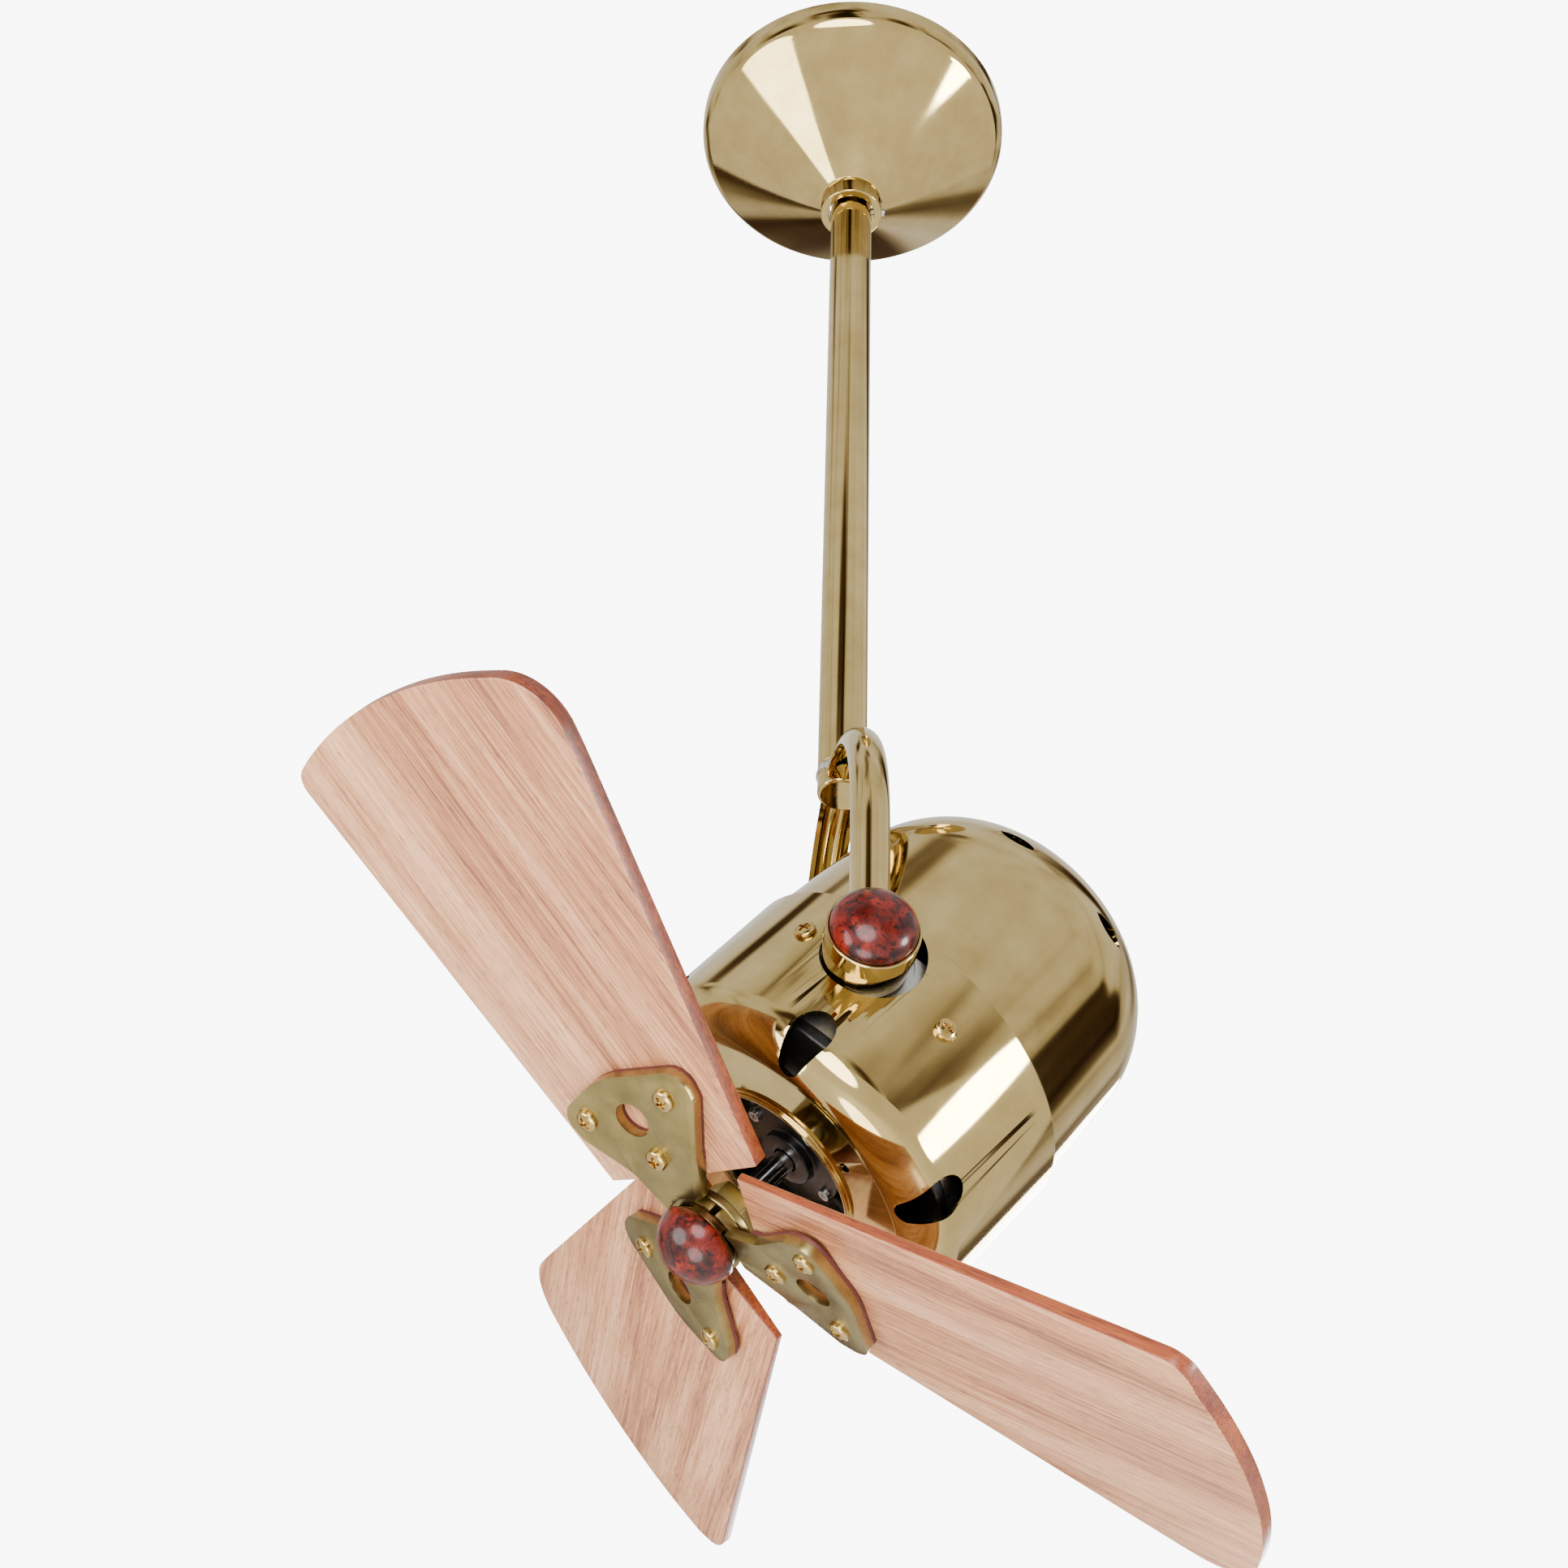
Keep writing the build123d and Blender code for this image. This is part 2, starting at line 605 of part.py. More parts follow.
# ---------------------------------------------------------------- rear shell
rear_lap = inner_radius - lap_gap
rear_front = seam_station + rear_overlap
rear_back = -rear_reach
with BuildPart() as rear_housing:
    turned([(0, rear_back), (rear_corner_radius, rear_back + rear_corner_rise),
            (rear_mouth_radius, seam_station + lap_steps[0]),
            (rear_lap, seam_station + lap_steps[2]), (rear_lap, rear_front),
            (rear_lap - housing_wall, rear_front),
            (rear_lap - housing_wall, seam_station + lap_steps[3]),
            (rear_mouth_radius - housing_wall, seam_station + lap_steps[1]),
            (rear_corner_radius - housing_wall, rear_back + rear_corner_rise + housing_wall),
            (0, rear_back + housing_wall)],
           [0, rear_round, lap_round, lap_round, 0, 0, lap_round, lap_round,
            rear_round - housing_wall, 0])
    for k in range(rear_vents):
        vent_azimuth = rear_vent_azimuth + 360 / rear_vents * k
        with BuildSketch(radial_plane(vent_azimuth, rear_vent_station, rear_vent_depth_radius,
                                      -rear_vent_lean)) as vent:
            half = rear_vent_length / 2
            wide = rear_vent_width / 2
            with BuildLine():
                ThreePointArc((-half, 0), (0, wide), (half, 0))
                ThreePointArc((half, 0), (0, -wide), (-half, 0))
            make_face()
        extrude(vent.sketch, amount=rear_vent_depth, both=True, mode=Mode.SUBTRACT)
    # tongues that close the front shell's slots, and ears behind its screws
    with BuildSketch(head.offset(seam_station + gap)) as tongue:
        Circle(housing_radius - tongue_drop)
        Circle(rear_lap - housing_wall + lap_gap, mode=Mode.SUBTRACT)
        with Locations((axis_drop, 0)):
            Rectangle(2 * (slot_half_width - lap_gap), 3 * housing_radius, mode=Mode.INTERSECT)
    extrude(tongue.sketch, amount=slot_end_station - seam_station - gap - lap_gap)
    with BuildSketch(head.offset(rear_front - cut_over)) as ears:
        Circle(rear_lap)
        Circle(rear_lap - housing_wall, mode=Mode.SUBTRACT)
        with BuildSketch(mode=Mode.INTERSECT):
            for azimuth in screw_azimuths:
                with Locations(Location((0, 0, 0), (0, 0, azimuth))):
                    with Locations((housing_radius, 0)):
                        Rectangle(ear_length, ear_width)
    extrude(ears.sketch, amount=screw_station + ear_front - rear_front)
    for side in sides:
        rod_along(hole_plane(side), pivot_hole_radius, housing_radius, mode=Mode.SUBTRACT)
    for azimuth in screw_azimuths:
        rod_along(radial_plane(azimuth, screw_station, screw_cut_start),
                  housing_screw_radius + hole_clear, screw_cut_length, mode=Mode.SUBTRACT)
rear_housing.part.label = "rear_housing"
export_step(rear_housing.part, "parts/rear_housing.step")

with BuildPart() as housing_screws:
    for azimuth in screw_azimuths:
        pan_screw(radial_plane(azimuth, screw_station, housing_radius + seat_gap),
                  housing_screw_radius, housing_screw_length, screw_head_radius, screw_head_height)
housing_screws.part.label = "housing_screws"
export_step(housing_screws.part, "parts/housing_screws.step")

# ---------------------------------------------------------------- pivot cage
boss_outer = rear_lap - housing_wall - tongue_drop
with BuildPart() as pivot_cage:
    disc(cage_back, cage_radius, cage_front - cage_back)
    for azimuth in screw_azimuths:
        rod_along(radial_plane(azimuth, screw_station, cage_radius - cage_wall), cage_boss_radius,
                  boss_outer - cage_radius + cage_wall)
    for side in sides:
        with BuildSketch(Plane(origin=pivot + Vector(0, side * (pad_face - pad_depth), 0),
                               x_dir=up, z_dir=(0, side, 0))) as pad:
            RectangleRounded(2 * pad_half_size, 2 * pad_half_size, pad_corner)
        extrude(pad.sketch, amount=pad_depth)
    disc(cage_back - cut_over, cage_radius - cage_wall, cage_front - cage_back + 2 * cut_over,
         mode=Mode.SUBTRACT)
    for side in sides:
        with BuildSketch(Plane(origin=pivot + Vector(0, side * (pad_face - pad_depth), 0),
                               x_dir=up, z_dir=(0, side, 0))) as pad:
            RectangleRounded(2 * pad_half_size, 2 * pad_half_size, pad_corner)
        extrude(pad.sketch, amount=pad_depth)
        rod_along(side_plane(side, pad_face), cup_rim_radius + cut_over, housing_radius,
                  mode=Mode.SUBTRACT)
        rod_along(side_plane(side, pad_face - pad_depth - cut_over), pivot_bolt_radius + run_fit,
                  pad_depth + 2 * cut_over, mode=Mode.SUBTRACT)
    for azimuth in screw_azimuths:
        rod_along(radial_plane(azimuth, screw_station, screw_cut_start),
                  housing_screw_radius + seat_gap, screw_cut_length, mode=Mode.SUBTRACT)
pivot_cage.part.label = "pivot_cage"
export_step(pivot_cage.part, "parts/pivot_cage.step")

# ---------------------------------------------------------------- motor
tie_azimuths = [tie_bolt_azimuth + 360 / tie_bolts_count * k for k in range(tie_bolts_count)]
tie_spots = [(tie_bolt_circle * cos(radians(a)), tie_bolt_circle * sin(radians(a)))
             for a in tie_azimuths]
retainer_spots = [(retainer_circle * cos(radians(retainer_azimuth + 360 / retainer_count * k)),
                   retainer_circle * sin(radians(retainer_azimuth + 360 / retainer_count * k)))
                  for k in range(retainer_count)]
bell_front = cage_front + seat_gap
bell_back = stator_back - winding_height - bell_clear
nose_front = bell_front + bell_wall + bell_boss_height + bell_nose_height

with BuildPart() as stator_core:
    disc(stator_back, stator_radius, stator_front - stator_back, stator_bore)
stator_core.part.label = "stator_core"
export_step(stator_core.part, "parts/stator_core.step")

with BuildPart() as stator_windings:
    for base in (stator_front + seat_gap, stator_back - winding_height - seat_gap):
        disc(base, winding_radius, winding_height, winding_inner_radius)
    fillet(stator_windings.edges().filter_by(GeomType.CIRCLE), winding_round)
stator_windings.part.label = "stator_windings"
export_step(stator_windings.part, "parts/stator_windings.step")

with BuildPart() as front_end_bell:
    disc(bell_front, cage_radius, bell_wall)
    disc(bell_front + bell_wall, bell_boss_radius, bell_boss_height)
    disc(bell_front + bell_wall + bell_boss_height, bell_nose_radius, bell_nose_height)
    with BuildSketch(head.offset(bell_front + bell_wall)) as ribs:
        rib_middle = (bell_boss_radius + rib_reach) / 2
        with PolarLocations(rib_middle, bell_ribs, start_angle=180 / bell_ribs):
            Rectangle(rib_reach - bell_boss_radius + cut_over, rib_width)
    extrude(ribs.sketch, amount=rib_height)
    disc(bell_front - cut_over, shaft_radius + shaft_clear,
         nose_front - bell_front + 2 * cut_over, mode=Mode.SUBTRACT)
    disc(bell_front - cut_over, bearing_radius + seat_gap, bearing_width + cut_over + seat_gap,
         mode=Mode.SUBTRACT)
    rod_along(head.offset(bell_front - cut_over), tie_bolt_radius + seat_gap, 2 * bell_wall,
              tie_spots, mode=Mode.SUBTRACT)
    rod_along(head.offset(bell_front), retainer_screw_radius + seat_gap,
              nose_front - bell_front + cut_over, retainer_spots,
              mode=Mode.SUBTRACT)
front_end_bell.part.label = "front_end_bell"
export_step(front_end_bell.part, "parts/front_end_bell.step")

with BuildPart() as rear_end_bell:
    disc(bell_back, cage_radius - cage_wall - bell_edge_gap, -bell_wall)
    disc(bell_back - bell_wall, rear_nose_radius, -rear_nose_height)
    disc(bell_back + cut_over, bearing_radius + seat_gap, -bearing_width - cut_over,
         mode=Mode.SUBTRACT)
    disc(bell_back + cut_over, shaft_radius + shaft_clear,
         -bell_wall - rear_nose_height - 2 * cut_over, mode=Mode.SUBTRACT)
    rod_along(head.offset(bell_back + cut_over), tie_bolt_radius + seat_gap,
              -bell_wall - 2 * cut_over,
              tie_spots, mode=Mode.SUBTRACT)
rear_end_bell.part.label = "rear_end_bell"
export_step(rear_end_bell.part, "parts/rear_end_bell.step")

with BuildPart() as tie_bolts:
    rod_along(head.offset(bell_back - bell_wall - tie_tail), tie_bolt_radius,
              bell_front - bell_back + 2 * bell_wall + tie_tail + seat_gap, tie_spots)
    rod_along(head.offset(bell_front + bell_wall + seat_gap), tie_head_radius,
              tie_head_height, tie_spots)
tie_bolts.part.label = "tie_bolts"
export_step(tie_bolts.part, "parts/tie_bolts.step")

with BuildPart() as retainer_screws:
    for spot in retainer_spots:
        seat_plane = head.offset(bell_front + bell_wall + bell_boss_height + seat_gap)
        screw_plane = Plane(origin=seat_plane.from_local_coords((spot[0], spot[1], 0)),
                            x_dir=seat_plane.x_dir, z_dir=seat_plane.z_dir)
        pan_screw(screw_plane, retainer_screw_radius, retainer_screw_length,
                  retainer_head_radius, retainer_head_height)
retainer_screws.part.label = "retainer_screws"
export_step(retainer_screws.part, "parts/retainer_screws.step")

with BuildPart() as bearings:
    disc(bell_front, bearing_radius, bearing_width, shaft_radius + run_fit)
    disc(bell_back, bearing_radius, -bearing_width, shaft_radius + run_fit)
bearings.part.label = "bearings"
export_step(bearings.part, "parts/bearings.step")

capacitor_front = bell_back - bell_wall - rear_nose_height - capacitor_gap
with BuildPart() as run_capacitor:
    with BuildSketch(head.offset(capacitor_front)) as case:
        RectangleRounded(capacitor_width, capacitor_length, capacitor_corner)
    extrude(case.sketch, amount=-capacitor_height)
run_capacitor.part.label = "run_capacitor"
export_step(run_capacitor.part, "parts/run_capacitor.step")

# ---------------------------------------------------------------- rotor and hub
foot_front = bracket_station - foot_drop
foot_back = foot_front - foot_thickness
hub_front = foot_back - seat_gap
hub_back = hub_front - hub_plate_thickness
stud_start = foot_front + seat_gap
stud_end = stud_start + stud_reach
with BuildPart() as motor_shaft:
    disc(shaft_back, shaft_radius, stud_start - shaft_back)
    disc(stud_start, stud_radius, stud_end - stud_start)
    chamfer(motor_shaft.edges().filter_by(GeomType.CIRCLE).sort_by(motor_axis)[-1], stud_bevel)
motor_shaft.part.label = "motor_shaft"
export_step(motor_shaft.part, "parts/motor_shaft.step")

with BuildPart() as rotor_core:
    disc(stator_back, stator_bore - rotor_air_gap, stator_front - stator_back,
         shaft_radius + seat_gap / 2)
rotor_core.part.label = "rotor_core"
export_step(rotor_core.part, "parts/rotor_core.step")

foot_turns = [blade_phase - 360 / blade_count * k for k in range(blade_count)]
foot_screw_spots = [(foot_screw_circle * cos(radians(a)), foot_screw_circle * sin(radians(a)))
                    for a in foot_turns]
with BuildPart() as blade_hub:
    disc(hub_back, hub_plate_radius, hub_plate_thickness)
    fillet(blade_hub.edges().filter_by(GeomType.CIRCLE), hub_edge_round)
    with BuildSketch(head.offset(hub_back - hub_hex_length)) as hexagon:
        RegularPolygon(hub_hex_flats / 2, 6, major_radius=False)
    extrude(hexagon.sketch, amount=hub_hex_length + hub_hex_bite)
    disc(hub_back - hub_hex_length - cut_over, shaft_radius + seat_gap / 2,
         hub_hex_length + hub_plate_thickness + 2 * cut_over, mode=Mode.SUBTRACT)
    rod_along(head.offset(hub_back + foot_screw_start), foot_screw_radius + seat_gap,
              hub_plate_thickness, foot_screw_spots, mode=Mode.SUBTRACT)
blade_hub.part.label = "blade_hub"
export_step(blade_hub.part, "parts/blade_hub.step")

with BuildPart() as foot_screws:
    rod_along(head.offset(hub_back + foot_screw_start + foot_screw_play), foot_screw_radius,
              foot_front - hub_back - foot_screw_start - 2 * foot_screw_play, foot_screw_spots)
foot_screws.part.label = "foot_screws"
export_step(foot_screws.part, "parts/foot_screws.step")

with BuildPart() as finial_ring:
    disc(stud_start, finial_ring_radius, finial_ring_height, stud_radius + seat_gap)
    fillet(finial_ring.edges().filter_by(GeomType.CIRCLE).sort_by(motor_axis)[-1],
           finial_ring_round)
finial_ring.part.label = "finial_ring"
export_step(finial_ring.part, "parts/finial_ring.step")

finial_base = stud_start + finial_ring_height + seat_gap
with BuildPart() as finial:
    with BuildSketch(head_section) as finial_outline:
        with BuildLine():
            foot_edge = (finial_radius, finial_base + finial_foot_taper[1])
            Polyline((0, finial_base), (finial_radius - finial_foot_taper[0], finial_base),
                     foot_edge)
            Spline(foot_edge, (finial_radius * finial_mid_radius,
                               finial_base + finial_dome * finial_mid_height),
                   (0, finial_base + finial_dome), tangents=((0, 1), (-1, 0)))
            Line((0, finial_base + finial_dome), (0, finial_base))
        make_face()
    revolve(finial_outline.sketch, axis=motor_axis)
    disc(finial_base - cut_over, stud_radius + seat_gap,
         stud_end - finial_base + cut_over + stud_end_gap,
         mode=Mode.SUBTRACT)
finial.part.label = "finial"
export_step(finial.part, "parts/finial.step")

# ---------------------------------------------------------------- brackets and blades
blade_front = -(bracket_thickness + blade_backing)


def blade_outline():
    """The blade's plan: square root, straight sides, rounded tip corners."""
    FilletPolyline(root_trail, root_lead, tip_lead, tip_mid, tip_back, tip_trail, trail_mid,
                   radius=[0, 0, tip_lead_round, tip_round, tip_round, tip_trail_round,
                           trail_round],
                   close=True)


for k in range(blade_count):
    number = str(k + 1)
    front = blade_plane(k)
    with BuildPart() as bracket:
        with BuildSketch(front) as plate:
            with BuildLine():
                FilletPolyline(*paddle, radius=paddle_rounds, close=True)
            make_face()
            with Locations(lightening_hole_at):
                Circle(lightening_hole_radius, mode=Mode.SUBTRACT)
            with Locations(*blade_screws_at):
                Circle(blade_screw_radius + hole_clear, mode=Mode.SUBTRACT)
        extrude(plate.sketch, amount=-bracket_thickness)
        foot_place = head.offset(foot_back).location * Location((0, 0, 0), (0, 0, foot_turns[k]))
        reach = 2 * hub_plate_radius
        with BuildSketch(Plane(foot_place)) as foot:
            with BuildLine():
                Polyline((0, 0), (reach * cos(radians(foot_half_angle)),
                                  -reach * sin(radians(foot_half_angle))),
                         (reach * cos(radians(foot_half_angle)),
                          reach * sin(radians(foot_half_angle))), close=True)
            make_face()
            Circle(hub_plate_radius - foot_edge_gap, mode=Mode.INTERSECT)
            Circle(shaft_radius + shaft_clear, mode=Mode.SUBTRACT)
        extrude(foot.sketch, amount=foot_thickness)
        rod_along(head.offset(foot_back - cut_over), foot_screw_radius + seat_gap,
                  3 * foot_thickness,
                  foot_screw_spots, mode=Mode.SUBTRACT)
        disc(foot_front, finial_radius + gap, hub_clear_depth, mode=Mode.SUBTRACT)
        disc(hub_front - hub_clear_depth, hub_plate_radius + gap,
             hub_clear_depth + seat_gap / 2, mode=Mode.SUBTRACT)
    bracket.part.label = "blade_bracket_" + number
    export_step(bracket.part, "parts/blade_bracket_" + number + ".step")

    with BuildPart() as backing:
        with BuildSketch(blade_plane(k, -bracket_thickness - seat_gap)) as pad_outline:
            with BuildLine():
                FilletPolyline(*paddle, radius=paddle_rounds, close=True)
            make_face()
            with Locations((pad_start + blade_tip_radius / 2, 0)):
                Rectangle(blade_tip_radius, blade_tip_radius, mode=Mode.INTERSECT)
            with Locations(lightening_hole_at):
                Circle(lightening_hole_radius + lap_gap, mode=Mode.SUBTRACT)
            with Locations(*blade_screws_at):
                Circle(blade_screw_radius + hole_clear, mode=Mode.SUBTRACT)
        extrude(pad_outline.sketch, amount=-(blade_backing - 2 * seat_gap))
    backing.part.label = "blade_backing_" + number
    export_step(backing.part, "parts/blade_backing_" + number + ".step")

    with BuildPart() as blade:
        wood = blade_plane(k, blade_front)
        with BuildSketch(wood) as plan:
            with BuildLine():
                blade_outline()
            make_face()
        extrude(plan.sketch, amount=-blade_thickness)
        # the leading part of the front face is planed down to a thin edge
        run = Vector(bevel_tip[0] - bevel_root[0], bevel_tip[1] - bevel_root[1], 0).normalized()
        line_dir = wood.x_dir * run.X + wood.y_dir * run.Y
        down = Plane(origin=wood.from_local_coords((bevel_root[0], bevel_root[1], 0)),
                     x_dir=line_dir, z_dir=wood.z_dir)
        bevel_face = Plane(down.location * Location((0, 0, 0), (-bevel_angle, 0, 0)))
        with BuildSketch(bevel_face) as planed:
            with Locations((blade_tip_radius / 2, blade_tip_radius / 4)):
                Rectangle(2 * blade_tip_radius, blade_tip_radius / 2)
        extrude(planed.sketch, amount=3 * blade_thickness, mode=Mode.SUBTRACT)
        rod_along(wood.offset(cut_over), blade_screw_radius + seat_gap,
                  -(blade_screw_bite + cut_over + seat_gap), blade_screws_at,
                  mode=Mode.SUBTRACT)
    blade.part.label = "blade_" + number
    export_step(blade.part, "parts/blade_" + number + ".step")

with BuildPart() as blade_screws:
    for k in range(blade_count):
        front = blade_plane(k, seat_gap)
        for spot in blade_screws_at:
            screw_plane = Plane(origin=front.from_local_coords((spot[0], spot[1], 0)),
                                x_dir=front.x_dir, z_dir=front.z_dir)
            pan_screw(screw_plane, blade_screw_radius,
                      bracket_thickness + blade_backing + blade_screw_bite,
                      screw_head_radius, screw_head_height)
blade_screws.part.label = "blade_screws"
export_step(blade_screws.part, "parts/blade_screws.step")
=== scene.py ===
"""A directional ceiling fan: canopy, downrod, yoke, tilting motor head and three wooden blades."""

import json
from math import asin, atan2, cos, pi, radians, sin, sqrt

import bpy
from mathutils import Matrix, Vector


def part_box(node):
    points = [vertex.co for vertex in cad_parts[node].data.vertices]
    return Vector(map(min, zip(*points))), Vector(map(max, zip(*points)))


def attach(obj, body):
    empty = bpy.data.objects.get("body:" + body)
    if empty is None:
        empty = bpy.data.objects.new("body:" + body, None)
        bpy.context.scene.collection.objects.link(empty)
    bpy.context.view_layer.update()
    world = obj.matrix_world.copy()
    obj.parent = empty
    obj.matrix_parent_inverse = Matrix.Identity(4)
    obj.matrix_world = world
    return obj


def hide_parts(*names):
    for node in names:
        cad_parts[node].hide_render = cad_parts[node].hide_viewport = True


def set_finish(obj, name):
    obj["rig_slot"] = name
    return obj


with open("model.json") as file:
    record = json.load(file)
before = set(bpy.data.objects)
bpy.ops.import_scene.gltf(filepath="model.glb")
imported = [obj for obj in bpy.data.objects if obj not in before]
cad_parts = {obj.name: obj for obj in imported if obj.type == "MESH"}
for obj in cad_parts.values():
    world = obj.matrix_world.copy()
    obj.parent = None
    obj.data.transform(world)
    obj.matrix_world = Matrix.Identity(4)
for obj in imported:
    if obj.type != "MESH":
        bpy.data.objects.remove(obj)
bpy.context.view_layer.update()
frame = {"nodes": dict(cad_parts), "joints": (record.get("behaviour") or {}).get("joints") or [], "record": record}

# ---------------------------------------------------------------- places from the frame
MM = 0.001
joints = {joint["name"]: joint for joint in frame["joints"]}
pivot = Vector(joints["head_tilt"]["pos_m"])
head_centre = Vector(joints["blade_spin"]["pos_m"])
forward = Vector(joints["blade_spin"]["axis"]).normalized()
side_axis = Vector((0, 1, 0))
up = side_axis.cross(forward).normalized()


def frame_matrix(x_axis, y_axis, z_axis, origin):
    """A placing matrix from three axes and an origin."""
    matrix = Matrix((x_axis, y_axis, z_axis)).transposed().to_4x4()
    matrix.translation = origin
    return matrix


head_frame = frame_matrix(up, side_axis, forward, head_centre)
upright_frame = Matrix.Identity(4)


def node_size(node):
    """Size of a CAD node's box, in mm."""
    low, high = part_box(node)
    return (high - low) / MM


# ---------------------------------------------------------------- sizes, in mm
housing_radius = node_size("front_housing").y / 2
housing_front = 56.0
housing_wall = 1.5
front_shoulder = 15.5
lip_radius = 63.2
lip_step = 3.0
opening_radius = 35.6
seam_station = -21.5
rear_back = -124.5
rear_mouth = 78.0
rear_corner = 71.5
rear_corner_rise = 4.0
rear_round = 55.0
axis_drop = (pivot - head_centre).dot(up) / MM
pivot_hole_radius = 20.8
slot_half_width = 23.0
slot_end = -8.8
front_vents = 6
front_vent_azimuth = -86.0
rear_vents = 8
rear_vent_azimuth = -81.0
rear_vent_station = -96.0
screw_azimuths = [side * (85.0 + turn * 25.6) for side in (-1, 1) for turn in (-1, 1)]
screw_station = 3.0

canopy_radius = node_size("canopy").x / 2
canopy_low, canopy_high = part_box("canopy")
canopy_foot = canopy_low.z / MM
canopy_rim = canopy_high.z / MM
collar_low, collar_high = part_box("canopy_collar")
rod_low, rod_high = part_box("downrod")
rod_radius = node_size("downrod").x / 2
arm_radius = 8.0
arm_wall = 2.2
arch_radius = node_size("yoke").y / 2 - arm_radius
arch_rise = 60.0
cup_base = 73.0
cup_face = 96.0
cup_rim = node_size("pivot_cup_front").x / 2
cup_foot = 16.8
cap_seat = 8.0
cap_dome = 11.0

bracket_station = 96.2
bracket_thickness = 4.2
backing = 1.8
blade_thickness = 7.0
blade_pitch = 11.5
blade_phase = -31.0
tip = 242.0
screw_spots = [(61.0, 16.0), (56.2, -29.6), (35.7, -4.6)]
lightening_hole = (53.9, -6.5)
hole_radius = 7.6
paddle = [(14.5, 8.5), (34.0, 12.5), (54.0, 25.5), (68.0, 28.0), (74.5, -4.0),
          (64.0, -46.0), (50.0, -42.5), (31.0, -25.0), (14.5, -13.0)]
paddle_rounds = [0, 14.0, 8.0, 9.0, 40.0, 9.0, 8.0, 14.0, 0]
blade_corners = [(16.3, -42.7), (31.0, 40.0), (0.959 * tip, 0.194 * tip), (tip, 0.021 * tip),
                 (0.967 * tip, -0.227 * tip), (0.876 * tip, -0.434 * tip),
                 (0.752 * tip, -0.399 * tip)]
blade_rounds = [0, 0, 0.037 * tip, 0.72 * tip, 0.72 * tip, 0.107 * tip, 1.24 * tip]
bevel_root = (17.0, 1.0)
bevel_tip = (0.967 * tip, 0.14 * tip)
bevel_angle = 5.7


# ---------------------------------------------------------------- outlines
def rounded(points, radii, steps=10):
    """A closed outline with its corners turned into arcs."""
    result = []
    count = len(points)
    for i, radius in enumerate(radii):
        here = Vector(points[i])
        back = (Vector(points[i - 1]) - here).normalized()
        ahead = (Vector(points[(i + 1) % count]) - here).normalized()
        if radius == 0:
            result.append(tuple(here))
            continue
        half = back.angle(ahead) / 2
        centre = here + (back + ahead).normalized() * (radius / sin(half))
        reach = radius / (sin(half) / cos(half))
        first = here + back * reach - centre
        last = here + ahead * reach - centre
        start = atan2(first.y, first.x)
        turn = atan2(last.y, last.x) - start
        turn = (turn + pi) % (2 * pi) - pi
        for step in range(steps + 1):
            angle = start + turn * step / steps
            result.append((centre.x + radius * cos(angle), centre.y + radius * sin(angle)))
    return result


def arc(centre_x, centre_y, radius, start, end, steps=12):
    """Points along an arc, angles in degrees."""
    angles = [radians(start + (end - start) * i / steps) for i in range(steps + 1)]
    return [(centre_x + radius * cos(a), centre_y + radius * sin(a)) for a in angles]


# ---------------------------------------------------------------- modelling moves
def deselect():
    bpy.ops.object.select_all(action="DESELECT")


def activate(obj):
    deselect()
    obj.select_set(True)
    bpy.context.view_layer.objects.active = obj


def settle(obj, matrix):
    """Puts an object where it belongs and moves its place into its mesh."""
    activate(obj)
    obj.matrix_world = matrix
    bpy.ops.object.transform_apply(location=True, rotation=True, scale=True)
    return obj


def apply_modifier(obj, kind, **settings):
    activate(obj)
    modifier = obj.modifiers.new(kind.lower(), kind)
    for key, value in settings.items():
        setattr(modifier, key, value)
    bpy.ops.object.modifier_apply(modifier=modifier.name)
    return obj


def smooth(obj, angle=32):
    activate(obj)
    bpy.ops.object.shade_smooth_by_angle(angle=radians(angle))
    return obj


def wire(name, points, closed=False):
    """Draws a chain of edges through 3D points in mm, from a plane merged to a point."""
    deselect()
    bpy.ops.mesh.primitive_plane_add(size=0.001)
    obj = bpy.context.object
    obj.name = name
    bpy.ops.object.mode_set(mode="EDIT")
    bpy.ops.mesh.select_all(action="SELECT")
    bpy.ops.mesh.merge(type="CENTER")
    bpy.ops.transform.translate(value=Vector(points[0]) * MM)
    route = list(points) + ([points[0]] if closed else [])
    for before, after in zip(route, route[1:]):
        step = (Vector(after) - Vector(before)) * MM
        bpy.ops.mesh.extrude_region_move(TRANSFORM_OT_translate={"value": step})
    bpy.ops.mesh.select_all(action="SELECT")
    bpy.ops.mesh.remove_doubles(threshold=0.000001)
    bpy.ops.object.mode_set(mode="OBJECT")
    return obj


def lathe(name, outline, place=upright_frame, closed=True, steps=128, angle=32):
    """Spins an outline of (radius, height) points about the frame's Z axis."""
    obj = wire(name, [(r, 0, z) for r, z in outline], closed)
    bpy.ops.object.mode_set(mode="EDIT")
    bpy.ops.mesh.select_all(action="SELECT")
    bpy.ops.mesh.spin(steps=steps, angle=2 * pi, center=(0, 0, 0), axis=(0, 0, 1))
    bpy.ops.mesh.select_all(action="SELECT")
    bpy.ops.mesh.remove_doubles(threshold=0.000002)
    bpy.ops.mesh.normals_make_consistent(inside=False)
    bpy.ops.object.mode_set(mode="OBJECT")
    settle(obj, place)
    return smooth(obj, angle)


